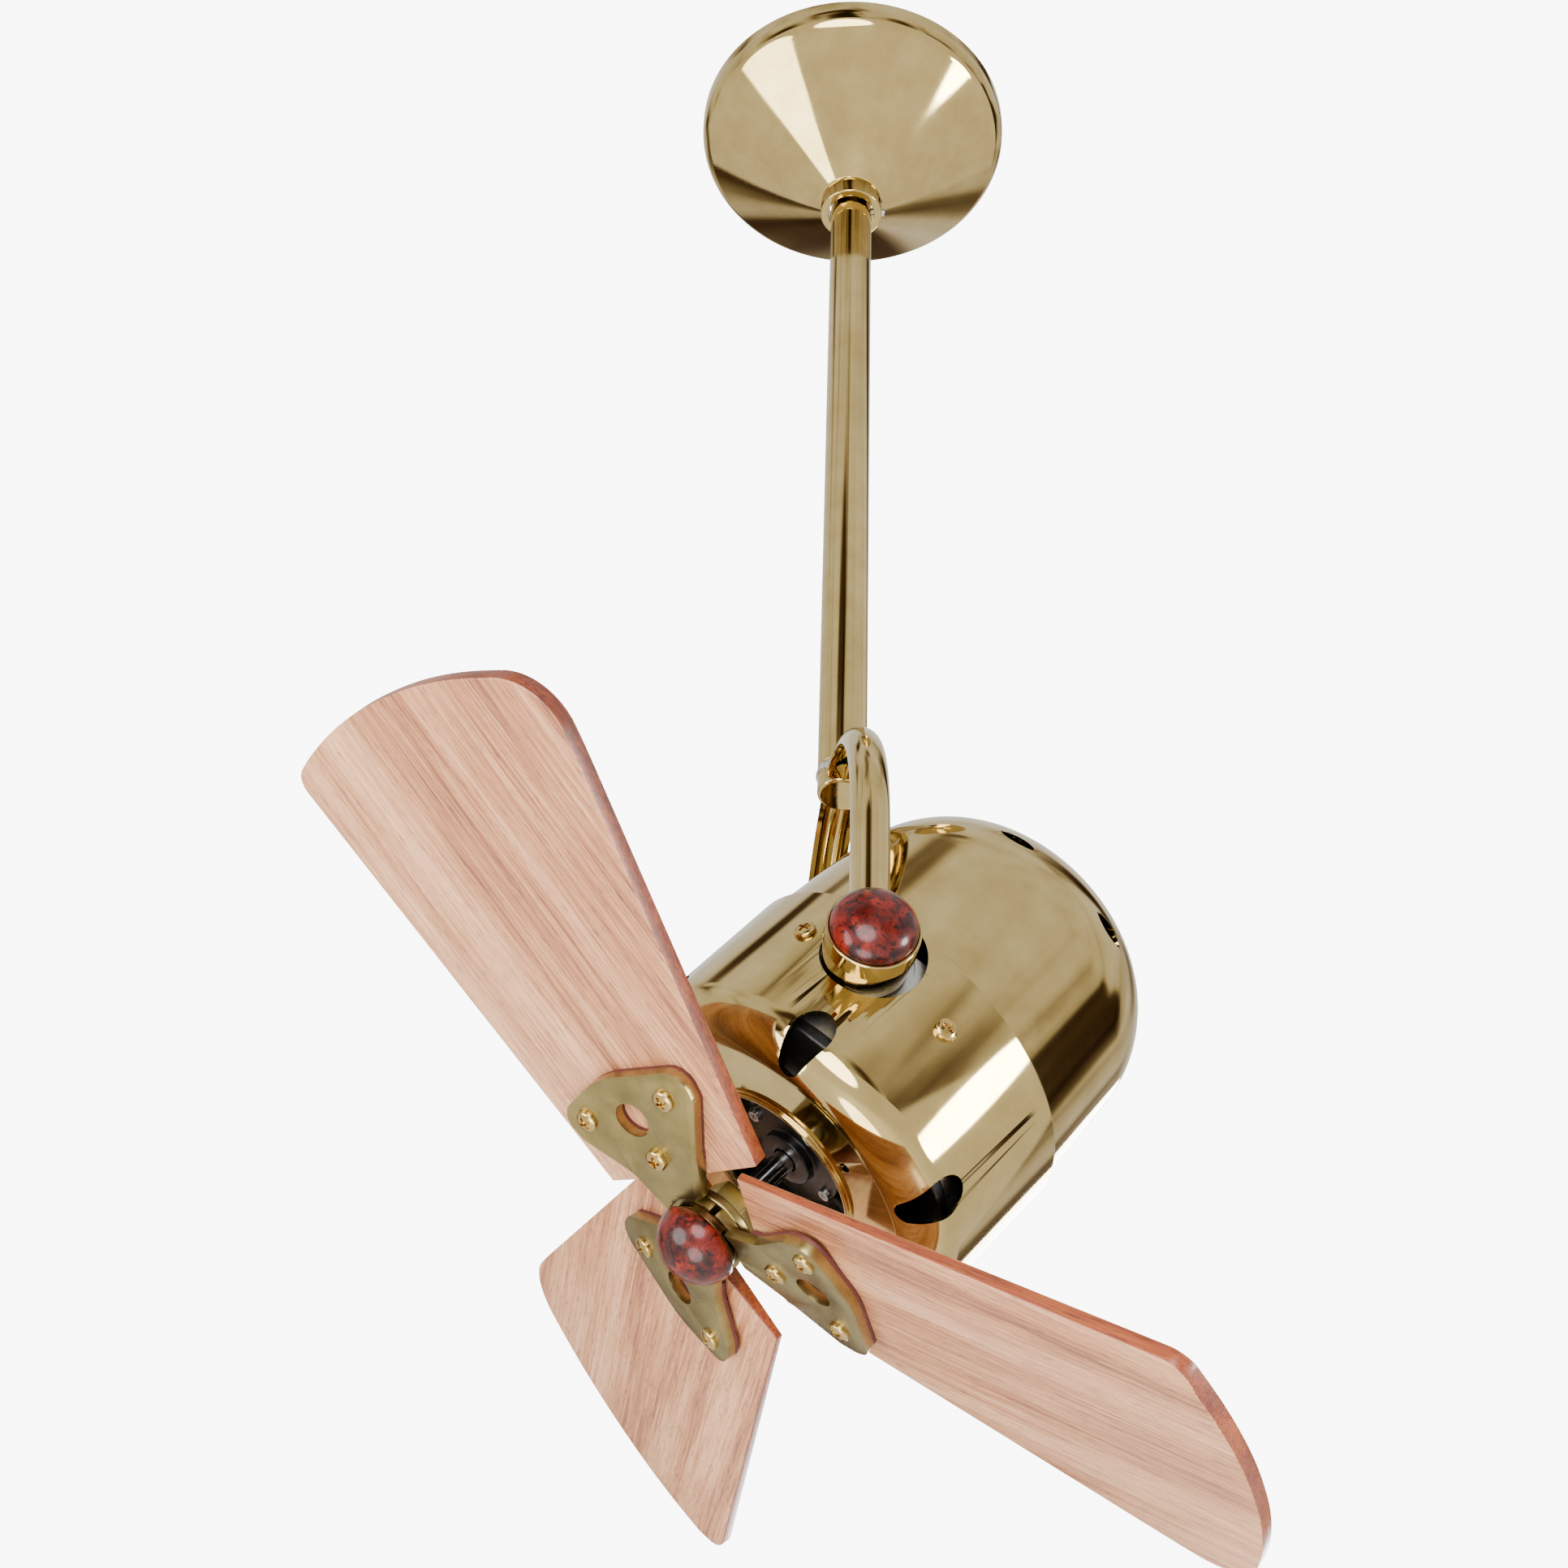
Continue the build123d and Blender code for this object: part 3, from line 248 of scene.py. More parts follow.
def slab(name, outline, thickness, place=upright_frame):
    """A plate: an outline of (x, y) points filled and pulled down by its thickness."""
    obj = wire(name, [(x, y, 0) for x, y in outline], closed=True)
    bpy.ops.object.mode_set(mode="EDIT")
    bpy.ops.mesh.select_all(action="SELECT")
    bpy.ops.mesh.edge_face_add()
    bpy.ops.mesh.extrude_region_move(
        TRANSFORM_OT_translate={"value": (0, 0, -thickness * MM)})
    bpy.ops.mesh.select_all(action="SELECT")
    bpy.ops.mesh.normals_make_consistent(inside=False)
    bpy.ops.object.mode_set(mode="OBJECT")
    return settle(obj, place)


def cut(obj, *cutters):
    """Takes each cutter out of the object, then throws the cutter away."""
    for cutter in cutters:
        apply_modifier(obj, "BOOLEAN", operation="DIFFERENCE", solver="EXACT", object=cutter)
        mesh = cutter.data
        bpy.data.objects.remove(cutter)
        bpy.data.meshes.remove(mesh)
    return obj


def drill(radius, place, top=40.0, bottom=-40.0, steps=48):
    """A round cutter about the Z axis of a frame."""
    return lathe("cutter", [(0, bottom), (radius, bottom), (radius, top), (0, top)],
                 place, closed=False, steps=steps)


def soften(obj, width, segments=3, angle=32):
    """Rounds the sharp edges."""
    apply_modifier(obj, "BEVEL", width=width * MM, segments=segments, limit_method="ANGLE",
                   angle_limit=radians(angle), harden_normals=False)
    return smooth(obj, 40)


def twin(obj, name, matrix):
    """A copy with its own mesh, moved by a matrix."""
    activate(obj)
    bpy.ops.object.duplicate(linked=False)
    copy = bpy.context.object
    copy.name = name
    return settle(copy, matrix @ copy.matrix_world)


def join(obj, *others):
    """Makes one piece of several."""
    deselect()
    for other in others:
        other.select_set(True)
    obj.select_set(True)
    bpy.context.view_layer.objects.active = obj
    bpy.ops.object.join()
    return obj


def finish_piece(obj, body, material_slot, material, *nodes):
    """Gives a piece its body, its finish and the CAD nodes it stands for."""
    if material is not None:
        obj.data.materials.clear()
        obj.data.materials.append(material)
    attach(obj, body)
    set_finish(obj, material_slot)
    if nodes:
        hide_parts(*nodes)
    return obj


def head_skin(azimuth, station, radius, lean=0.0):
    """A frame on the head's skin: Z outward leaned forward, Y towards the rear."""
    out = up * cos(radians(azimuth)) + side_axis * sin(radians(azimuth))
    x_axis = out.cross(forward)
    z_axis = out * cos(radians(lean)) + forward * sin(radians(lean))
    origin = head_centre + (out * radius + forward * station) * MM
    return frame_matrix(x_axis, z_axis.cross(x_axis), z_axis, origin)


def blade_frame(index, height=0.0):
    """Front face of a blade's bracket: X out along the blade, Z to the front."""
    turn = Matrix.Rotation(radians(blade_phase - 120 * index), 4, "Z")
    pitch = Matrix.Rotation(radians(blade_pitch), 4, "X")
    lift = Matrix.Translation((0, 0, bracket_station * MM))
    return head_frame @ lift @ turn @ pitch @ Matrix.Translation((0, 0, height * MM))


# ---------------------------------------------------------------- materials
def srgb(code, alpha=1.0):
    """A hex colour as linear red, green, blue and alpha."""
    parts = [int(code[i:i + 2], 16) / 255 for i in (1, 3, 5)]
    return [p / 12.92 if p <= 0.04045 else ((p + 0.055) / 1.055) ** 2.4 for p in parts] + [alpha]


def new_material(name, **settings):
    """A Principled material with constants set on the shader's own sockets."""
    material = bpy.data.materials.new(name)
    material.use_nodes = True
    shader = material.node_tree.nodes["Principled BSDF"]
    for key, value in settings.items():
        shader.inputs[key.replace("_", " ")].default_value = value
    return material, material.node_tree, shader


def add_node(tree, kind, settings=None, **links):
    """Adds a node, sets its values and links its inputs to (node, output) pairs."""
    node = tree.nodes.new("ShaderNode" + kind)
    for key, value in (settings or {}).items():
        if isinstance(key, int) or key in node.inputs:
            node.inputs[key].default_value = value
        else:
            setattr(node, key, value)
    for key, (source, output) in links.items():
        tree.links.new(source.outputs[output], node.inputs[key.replace("_", " ")])
    return node


def ramp(tree, source, output, stops):
    """A colour ramp over a value: (position, hex colour) stops."""
    node = add_node(tree, "ValToRGB", Fac=(source, output))
    elements = node.color_ramp.elements
    while len(elements) < len(stops):
        elements.new(0.5)
    for element, (position, colour) in zip(elements, stops):
        element.position = position
        element.color = srgb(colour) if isinstance(colour, str) else (colour,) * 3 + (1,)
    return node


def local_coordinates(tree, place, scale=(1, 1, 1)):
    """Object coordinates turned into a piece's own frame, then stretched."""
    inverse = place.inverted()
    coordinates = add_node(tree, "TexCoord")
    turned = add_node(tree, "Mapping", {"vector_type": "POINT", "Rotation": inverse.to_euler(),
                                        "Location": inverse.translation},
                      Vector=(coordinates, "Object"))
    return add_node(tree, "Mapping", {"vector_type": "POINT", "Scale": scale},
                    Vector=(turned, "Vector"))


def finish_surface(tree, shader, colour=None, roughness=None, height=None, distance=0.0001):
    """Links colour, roughness and bump height into the shader."""
    if colour:
        tree.links.new(colour[0].outputs[colour[1]], shader.inputs["Base Color"])
    if roughness:
        tree.links.new(roughness[0].outputs[roughness[1]], shader.inputs["Roughness"])
    if height:
        bump = add_node(tree, "Bump", {"Strength": 1.0, "Distance": distance},
                        Height=height)
        tree.links.new(bump.outputs["Normal"], shader.inputs["Normal"])


def range_of(tree, source, output, low, high):
    """Maps a 0..1 value to low..high."""
    return add_node(tree, "MapRange", {"To Min": low, "To Max": high}, Value=(source, output))


def metal(name, light, dark, rough_low, rough_high, cloud=0.02, scratch=0.0004, bump=0.000004):
    """Sheet or turned metal: cloudy tarnish, fine rubbing marks and slight waviness."""
    material, tree, shader = new_material(name, Metallic=1.0)
    coordinates = add_node(tree, "TexCoord")
    clouds = add_node(tree, "TexNoise", {"Scale": 1 / cloud, "Detail": 5.0, "Roughness": 0.6},
                      Vector=(coordinates, "Object"))
    fine = add_node(tree, "TexNoise", {"Scale": 1 / scratch, "Detail": 2.0},
                    Vector=(coordinates, "Object"))
    colour = ramp(tree, clouds, "Fac", [(0.30, dark), (0.72, light)])
    mixed = add_node(tree, "Math", {"operation": "MULTIPLY_ADD", 1: 0.6, 2: 0.0},
                     Value=(clouds, "Fac"))
    total = add_node(tree, "Math", {"operation": "MULTIPLY_ADD", 1: 0.4})
    tree.links.new(fine.outputs["Fac"], total.inputs[0])
    tree.links.new(mixed.outputs[0], total.inputs[2])
    roughness = range_of(tree, total, 0, rough_low, rough_high)
    finish_surface(tree, shader, (colour, "Color"), (roughness, "Result"),
                   (fine, "Fac"), bump)
    return material


polished_brass = metal("polished_brass", "#C8B279", "#B39C62", 0.035, 0.085)
brushed_brass = metal("satin_brass", "#A0905F", "#857648", 0.24, 0.38, 0.012, 0.0008, 0.000008)
screw_brass = metal("brass_screw", "#D3B878", "#A98C50", 0.10, 0.20, 0.004)
zinc_steel = metal("zinc_steel", "#C9CBCC", "#A6A9AC", 0.22, 0.36, 0.006)
bearing_steel = metal("bearing_steel", "#DADBDC", "#BFC1C3", 0.10, 0.20, 0.010)
lamination_steel = metal("lamination_steel", "#77787C", "#57585C", 0.38, 0.52, 0.008)
dark_bronze = metal("dark_bronze", "#6B5233", "#3A2A1A", 0.16, 0.30, 0.006)
braze_silver = metal("silver_braze", "#DDDCD4", "#A9A395", 0.14, 0.34, 0.003, 0.0009, 0.00006)


def dull(name, light, dark, rough_low, rough_high, grain, bump, **settings):
    """Paint, rubber, plastic or fibre: a mottled colour with a fine moulded grain."""
    material, tree, shader = new_material(name, **settings)
    coordinates = add_node(tree, "TexCoord")
    broad = add_node(tree, "TexNoise", {"Scale": 120.0, "Detail": 4.0},
                     Vector=(coordinates, "Object"))
    fine = add_node(tree, "TexNoise", {"Scale": 1 / grain, "Detail": 3.0},
                    Vector=(coordinates, "Object"))
    colour = ramp(tree, broad, "Fac", [(0.3, dark), (0.7, light)])
    roughness = range_of(tree, fine, "Fac", rough_low, rough_high)
    finish_surface(tree, shader, (colour, "Color"), (roughness, "Result"), (fine, "Fac"), bump)
    return material


black_enamel = dull("black_paint", "#0C0C0D", "#060606", 0.26, 0.40, 0.0012, 0.00003, IOR=1.45)
black_plastic = dull("black_plastic", "#1B1B1B", "#101010", 0.42, 0.58, 0.0006, 0.00003, IOR=1.49)
rubber = dull("rubber", "#211F1E", "#151413", 0.70, 0.86, 0.0008, 0.00004, IOR=1.52)
red_fibre = dull("fibre", "#5A1F18", "#3F120E", 0.50, 0.68, 0.0005, 0.00004, IOR=1.55)


def winding_material():
    """Enamelled copper wire laid side by side, 0.8 mm thick."""
    material, tree, shader = new_material("copper_winding", Metallic=0.85, Coat_Weight=0.6)
    place = local_coordinates(tree, head_frame)
    wires = add_node(tree, "TexWave", {"wave_type": "RINGS", "rings_direction": "Z",
                                       "Scale": 0.5 / 0.0008 / pi, "Distortion": 0.6},
                     Vector=(place, "Vector"))
    colour = ramp(tree, wires, "Fac", [(0.1, "#5A2410"), (0.8, "#B4602F")])
    roughness = range_of(tree, wires, "Fac", 0.30, 0.45)
    finish_surface(tree, shader, (colour, "Color"), (roughness, "Result"), (wires, "Fac"), 0.0003)
    return material


copper_winding = winding_material()


def burl_material():
    """Dark red burl under thick gloss lacquer: blotches, swirls and near-black pores."""
    material, tree, shader = new_material("burl_wood", IOR=1.45, Coat_Weight=0.3,
                                          Specular_IOR_Level=0.25,
                                          Coat_Roughness=0.10, Coat_IOR=1.5)
    coordinates = add_node(tree, "TexCoord")
    swirl = add_node(tree, "TexNoise", {"Scale": 1 / 0.016, "Detail": 6.0, "Roughness": 0.62,
                                        "Distortion": 1.6}, Vector=(coordinates, "Object"))
    specks = add_node(tree, "TexNoise", {"Scale": 1 / 0.0024, "Detail": 3.0, "Distortion": 0.6},
                      Vector=(coordinates, "Object"))
    wood = ramp(tree, swirl, "Fac", [(0.30, "#120203"), (0.43, "#340604"), (0.55, "#5C0D06"),
                                     (0.70, "#84200D")])
    pores = ramp(tree, specks, "Fac", [(0.40, 0.03), (0.445, 1.0)])
    colour = add_node(tree, "Mix", {"data_type": "RGBA", "blend_type": "MULTIPLY"})
    colour.inputs["Factor"].default_value = 0.85
    tree.links.new(wood.outputs["Color"], colour.inputs[6])
    tree.links.new(pores.outputs["Color"], colour.inputs[7])
    roughness = range_of(tree, swirl, "Fac", 0.24, 0.36)
    tree.links.new(colour.outputs[2], shader.inputs["Base Color"])
    finish_surface(tree, shader, None, (roughness, "Result"), (swirl, "Fac"), 0.00002)
    return material


burl_wood = burl_material()


def mahogany_material(name, place, shades, seed):
    """Pale mahogany in satin varnish: broad figure, fine fibres and short dark pores."""
    material, tree, shader = new_material(name, IOR=1.5, Coat_Weight=0.35,
                                          Coat_Roughness=0.22, Coat_IOR=1.5)
    figure_place = local_coordinates(tree, place, (2.2, 42.0, 42.0))
    fibre_place = local_coordinates(tree, place, (28.0, 900.0, 900.0))
    pore_place = local_coordinates(tree, place, (150.0, 1700.0, 1700.0))
    figure = add_node(tree, "TexNoise", {"noise_dimensions": "4D", "W": seed, "Scale": 1.0,
                                         "Detail": 5.0, "Distortion": 0.5},
                      Vector=(figure_place, "Vector"))
    fibres = add_node(tree, "TexNoise", {"noise_dimensions": "4D", "W": seed, "Scale": 1.0,
                                         "Detail": 4.0}, Vector=(fibre_place, "Vector"))
    pores = add_node(tree, "TexNoise", {"noise_dimensions": "4D", "W": seed, "Scale": 1.0,
                                        "Detail": 1.0}, Vector=(pore_place, "Vector"))
    mixed = add_node(tree, "Mix", {"data_type": "FLOAT", "Factor": 0.42})
    tree.links.new(figure.outputs["Fac"], mixed.inputs[2])
    tree.links.new(fibres.outputs["Fac"], mixed.inputs[3])
    tone = ramp(tree, mixed, 0, [(0.37, shades[0]), (0.48, shades[1]), (0.62, shades[2])])
    marks = ramp(tree, pores, "Fac", [(0.33, 0.42), (0.41, 1.0)])
    colour = add_node(tree, "Mix", {"data_type": "RGBA", "blend_type": "MULTIPLY"})
    colour.inputs["Factor"].default_value = 0.75
    tree.links.new(tone.outputs["Color"], colour.inputs[6])
    tree.links.new(marks.outputs["Color"], colour.inputs[7])
    tree.links.new(colour.outputs[2], shader.inputs["Base Color"])
    roughness = range_of(tree, fibres, "Fac", 0.34, 0.50)
    finish_surface(tree, shader, None, (roughness, "Result"), (marks, "Color"), 0.00005)
    return material


face_shades = ("#7C452C", "#B4774F", "#DDA67E")
edge_shades = ("#54200C", "#7E3413", "#A24F20")
cad_materials = {
    "zinc_steel": zinc_steel, "bearing_steel": bearing_steel, "rubber": rubber,
    "lamination_steel": lamination_steel, "copper_winding": copper_winding,
    "black_paint": black_enamel, "black_plastic": black_plastic, "fibre": red_fibre,
    "dark_bronze": dark_bronze, "polished_brass": polished_brass,
    "satin_brass": brushed_brass, "brass_screw": screw_brass, "burl_wood": burl_wood,
}


# ---------------------------------------------------------------- canopy, collar and downrod
def side_frame(side):
    """At the tilt axis: Z outward along the axis, X across."""
    z_axis = side_axis * side
    x_axis = Vector((1, 0, 0))
    return frame_matrix(x_axis, z_axis.cross(x_axis), z_axis, pivot)


def crossed_screw(name, head_radius, head_height, shank_radius, shank_length):
    """A pan-head screw about Z, seat at zero, with a cross recess in its domed head."""
    dome = [(head_radius * cos(radians(a)), head_height * (0.42 + 0.58 * sin(radians(a))))
            for a in range(0, 91, 9)]
    screw = lathe(name, [(0, -shank_length), (shank_radius, -shank_length), (shank_radius, 0),
                         (head_radius, 0)] + dome[:-1] + [(0, head_height)],
                  closed=False, steps=40)
    for width, length in ((0.27, 1.15), (1.15, 0.27)):
        x, y = head_radius * length / 2, head_radius * width / 2
        arm = slab("cutter", [(-x, -y), (x, -y), (x, y), (-x, y)], head_height * 1.4)
        settle(arm, Matrix.Translation((0, 0, head_height * 1.75 * MM)))
        cut(screw, arm)
    return soften(screw, 0.12, 2, 40)


def rows(model, name, places):
    """Copies a modelled piece to each place and joins the copies; the first is used up."""
    copies = [twin(model, name, place) for place in places]
    mesh = model.data
    bpy.data.objects.remove(model)
    bpy.data.meshes.remove(mesh)
    first = copies[0]
    join(first, *copies[1:])
    first.name = name
    return smooth(first, 40)


shell = 1.2
canopy_outline = rounded([(13.4, canopy_foot), (17.2, canopy_foot), (canopy_radius, -13.0),
                          (canopy_radius, canopy_rim), (canopy_radius - shell, canopy_rim),
                          (canopy_radius - shell, -12.3), (17.0, canopy_foot + shell),
                          (13.4, canopy_foot + shell)],
                         [0.4, 2.0, 13.0, 0.5, 0.5, 11.8, 0.8, 0.4], steps=12)
canopy = lathe("canopy_cover", canopy_outline, steps=160, angle=50)
finish_piece(canopy, "mount", "polished_brass", polished_brass, "canopy")

collar_foot, collar_head = collar_low.z / MM, collar_high.z / MM
collar = lathe("canopy_neck_collar",
               rounded([(12.3, collar_head), (12.3, collar_foot), (16.6, collar_foot),
                        (16.6, collar_head)], [0.3, 0.5, 0.9, 0.3]), angle=50)
finish_piece(collar, "mount", "polished_brass", polished_brass, "canopy_collar")

rod_wall = 1.8
rod_foot, rod_head = rod_low.z / MM, rod_high.z / MM
rod = lathe("downrod_tube",
            rounded([(rod_radius, rod_head), (rod_radius - rod_wall, rod_head),
                     (rod_radius - rod_wall, rod_foot), (rod_radius, rod_foot)],
                    [0.3, 0.3, 0.3, 0.3], steps=4), steps=96, angle=50)
finish_piece(rod, "mount", "polished_brass", polished_brass, "downrod")

# ---------------------------------------------------------------- yoke
arch_z = pivot.z / MM + arch_rise
boss_top = rod_foot - 0.05
section = (arc(0, -arch_radius, arm_radius, 180, 360, 24)
           + arc(0, -arch_radius, arm_radius - arm_wall, 360, 180, 24))
yoke = wire("yoke_arch", [(x, y, arch_z - arch_rise) for x, y in section], closed=True)
bpy.ops.object.mode_set(mode="EDIT")
bpy.ops.mesh.select_all(action="SELECT")
bpy.ops.mesh.extrude_region_move(TRANSFORM_OT_translate={"value": (0, 0, arch_rise * MM)})
bpy.ops.mesh.spin(steps=64, angle=pi, center=(0, 0, arch_z * MM), axis=(1, 0, 0))
bpy.ops.mesh.extrude_region_move(TRANSFORM_OT_translate={"value": (0, 0, -arch_rise * MM)})
bpy.ops.mesh.select_all(action="SELECT")
bpy.ops.mesh.remove_doubles(threshold=0.000002)
bpy.ops.mesh.select_all(action="DESELECT")
bpy.ops.mesh.select_non_manifold()
bpy.ops.mesh.fill_holes(sides=0)
bpy.ops.mesh.select_all(action="SELECT")
bpy.ops.mesh.normals_make_consistent(inside=False)
bpy.ops.object.mode_set(mode="OBJECT")

boss = lathe("boss", rounded([(0, boss_top - 14.0), (rod_radius, boss_top - 14.0),
                              (rod_radius, boss_top), (0, boss_top)], [0, 1.5, 0.4, 0]),
             closed=False, steps=96)
apply_modifier(yoke, "BOOLEAN", operation="UNION", solver="EXACT", object=boss)
bpy.data.objects.remove(boss)
hole_angle = radians(29.0)
hole_z = Vector((0, -sin(hole_angle), cos(hole_angle)))
hole_x = Vector((1, 0, 0))
wire_hole = drill(3.2, frame_matrix(hole_x, hole_z.cross(hole_x), hole_z,
                                    Vector((0, 0, arch_z * MM)) + hole_z * arch_radius * MM), 30, -8)
cut(yoke, wire_hole, *[drill(cup_rim + 0.05, side_frame(side), 120, 72) for side in (-1, 1)])
soften(yoke, 0.5, 3, 34)

# the brazed joint: an uneven silvery bead round the boss on the arch's crown
bead_points = [(rod_radius - 1.0, -3.4), (rod_radius + 0.4, -3.0), (rod_radius + 0.9, -1.4),
               (rod_radius + 0.6, 0.2), (rod_radius - 0.6, 0.6), (rod_radius - 1.0, 0.4)]
bead = lathe("braze_bead", [(r, z + boss_top - 1.0) for r, z in bead_points], steps=96)
for vertex in bead.data.vertices:
    turn = atan2(vertex.co.y, vertex.co.x)
    swell = 0.5 + 0.5 * sin(turn * 3 + 0.6) * sin(turn * 7 + 1.1)
    vertex.co.z -= 0.0011 * swell
    vertex.co.x *= 1 - 0.015 * swell
smooth(bead, 60)
finish_piece(bead, "mount", "polished_brass", braze_silver)
finish_piece(yoke, "mount", "polished_brass", polished_brass, "yoke")

# ---------------------------------------------------------------- side pivots
cup_seat = cup_face - cap_seat
cup_wall = 1.3
for side, name in ((-1, "front"), (1, "rear")):
    cup = lathe("pivot_cup_shell_" + name,
                rounded([(4.05, cup_base), (cup_foot, cup_base), (cup_rim, cup_seat),
                         (cup_rim, cup_face), (cup_rim - cup_wall, cup_face),
                         (cup_rim - cup_wall, cup_seat), (11.5, cup_seat), (11.5, cup_base + 3.0),
                         (4.05, cup_base + 3.0)], [0.3, 1.2, 6.0, 0.6, 0.5, 0.3, 0.4, 0.3, 0.3]),
                side_frame(side), angle=50)
    finish_piece(cup, "mount", "polished_brass", polished_brass, "pivot_cup_" + name)
    edge = cup_rim - cup_wall - 0.05
    dome = [(edge * cos(radians(a)), cup_face + cap_dome * sin(radians(a)))
            for a in range(0, 86, 5)]
    cap = lathe("pivot_cap_burl_" + name,
                [(0, cup_seat + 0.05), (edge - 0.6, cup_seat + 0.05), (edge, cup_seat + 0.6)]
                + dome + [(0, cup_face + cap_dome)], side_frame(side), closed=False, angle=60)
    finish_piece(cap, "mount", "burl_wood", burl_wood, "pivot_cap_" + name)

# ---------------------------------------------------------------- front shell
inner_radius = housing_radius - housing_wall
inner_front = housing_front - housing_wall
face_station = housing_front - lip_step
front_outline = rounded(
    [(inner_radius, seam_station), (housing_radius, seam_station),
     (housing_radius, housing_front), (lip_radius - 1.0, housing_front),
     (lip_radius - 2.0, face_station), (opening_radius + 1.6, face_station),
     (opening_radius + 1.6, housing_front - 0.6), (opening_radius, housing_front - 0.6),
     (opening_radius, face_station - housing_wall),
     (lip_radius - 0.8, face_station - housing_wall), (lip_radius + 0.2, inner_front),
     (inner_radius, inner_front)],
    [0.3, 0.8, front_shoulder, 1.0, 0.8, 0.7, 0.7, 0.5, 0.5, 0.4, 0.4,
     front_shoulder - housing_wall], steps=14)
front_shell = lathe("front_shell", front_outline, head_frame, steps=192, angle=50)


def leaf(length, wide, narrow, shift, steps=16):
    """A vent outline: a wide round end and a narrow round end, joined by tangents."""
    top = shift + length / 2 - wide
    bottom = shift + narrow - length / 2
    lean = asin((wide - narrow) / (top - bottom)) if top > bottom else 0
    angle = lean * 180 / pi
    return (arc(0, top, wide, -angle, 180 + angle, steps)
            + arc(0, bottom, narrow, 180 + angle, 360 - angle, steps))


middle_radius = housing_radius - front_shoulder + front_shoulder * sqrt(0.5)
middle_station = housing_front - front_shoulder + front_shoulder * sqrt(0.5)
vent_cutters = []
for k in range(front_vents):
    place = head_skin(front_vent_azimuth + 60 * k, middle_station, middle_radius, 45)
    cutter = slab("cutter", leaf(27.0, 8.4, 5.0, 3.5), 28)
    vent_cutters.append(settle(cutter, place @ Matrix.Translation((0, 0, 14 * MM))))
cut(front_shell, join(*vent_cutters))


hole_shift = Matrix.Translation(-(up + forward) * 1.9 * MM)


def slot_cutter(side, half_width, start, end):
    """A box through one side of the shell, between two stations."""
    points = [(axis_drop - half_width, side * 60), (axis_drop + half_width, side * 60),
              (axis_drop + half_width, side * 100), (axis_drop - half_width, side * 100)]
    cutter = slab("cutter", points, end - start, Matrix.Identity(4))
    return settle(cutter, head_frame @ Matrix.Translation((0, 0, end * MM)))


cut(front_shell, *[drill(pivot_hole_radius, hole_shift @ side_frame(side), 90, 30, 96)
                   for side in (-1, 1)])
cut(front_shell, join(*[slot_cutter(side, slot_half_width, seam_station - 1, slot_end)
                        for side in (-1, 1)]))
face_hole = Matrix.Rotation(radians(-130), 4, "Z") @ Matrix.Translation((43.8 * MM, 0, 0))
cut(front_shell, drill(2.2, head_frame @ face_hole, 70, 45, 32))
soften(front_shell, 0.45, 3, 30)
finish_piece(front_shell, "head", "polished_brass", polished_brass, "front_housing")

# ---------------------------------------------------------------- rear shell
lap = inner_radius - 0.2
rear_outline = rounded(
    [(0, rear_back), (rear_corner, rear_back + rear_corner_rise), (rear_mouth, seam_station + 1.0),
     (lap, seam_station + 2.5), (lap, seam_station + 12.5),
     (lap - housing_wall, seam_station + 12.5), (lap - housing_wall, seam_station + 3.5),
     (rear_mouth - housing_wall, seam_station + 1.5),
     (rear_corner - housing_wall, rear_back + rear_corner_rise + housing_wall),
     (0, rear_back + housing_wall)],
    [0, rear_round, 0.5, 0.5, 0.3, 0.3, 0.5, 0.5, rear_round - housing_wall, 0], steps=26)
rear_shell = lathe("rear_shell", rear_outline, head_frame, closed=False, steps=192, angle=50)
vent_cutters = []
for k in range(rear_vents):
    place = head_skin(rear_vent_azimuth + 45 * k, rear_vent_station, 66, -30)
    half, wide = 9.0, 3.8
    reach = (half * half + wide * wide) / (2 * wide)
    swing = asin(half / reach) * 180 / pi
    petal = (arc(0, wide - reach, reach, 90 - swing, 90 + swing, 14)[:-1]
             + arc(0, reach - wide, reach, 270 - swing, 270 + swing, 14)[:-1])
    cutter = slab("cutter", petal, 24)
    vent_cutters.append(settle(cutter, place @ Matrix.Translation((0, 0, 12 * MM))))
cut(rear_shell, join(*vent_cutters))
tongues = []
for side in (-1, 1):
    edge = asin((slot_half_width - 0.2) / (housing_radius - 0.1)) * 180 / pi
    lean = asin(axis_drop / housing_radius) * 180 / pi
    low, high = side * (90 - lean) - edge, side * (90 - lean) + edge
    outline = (arc(0, 0, housing_radius - 0.1, low, high, 24)
               + arc(0, 0, lap - housing_wall + 0.2, high, low, 24))
    tongue = slab("tongue", outline, slot_end - seam_station - 0.5, Matrix.Identity(4))
    tongues.append(settle(tongue, head_frame @ Matrix.Translation((0, 0, (slot_end - 0.2) * MM))))
for tongue in tongues:
    apply_modifier(rear_shell, "BOOLEAN", operation="UNION", solver="EXACT", object=tongue)
    bpy.data.objects.remove(tongue)
cut(rear_shell, *[drill(pivot_hole_radius, hole_shift @ side_frame(side), 90, 30, 96)
                  for side in (-1, 1)])
soften(rear_shell, 0.4, 3, 30)
finish_piece(rear_shell, "head", "polished_brass", polished_brass, "rear_housing")

# ---------------------------------------------------------------- housing screws
screw = crossed_screw("housing_screw", 4.5, 2.6, 2.0, 10.0)
housing_screws = rows(screw, "housing_pan_screws",
                      [head_skin(a, screw_station, housing_radius + 0.05) for a in screw_azimuths])
finish_piece(housing_screws, "head", "brass_screw", screw_brass, "housing_screws")

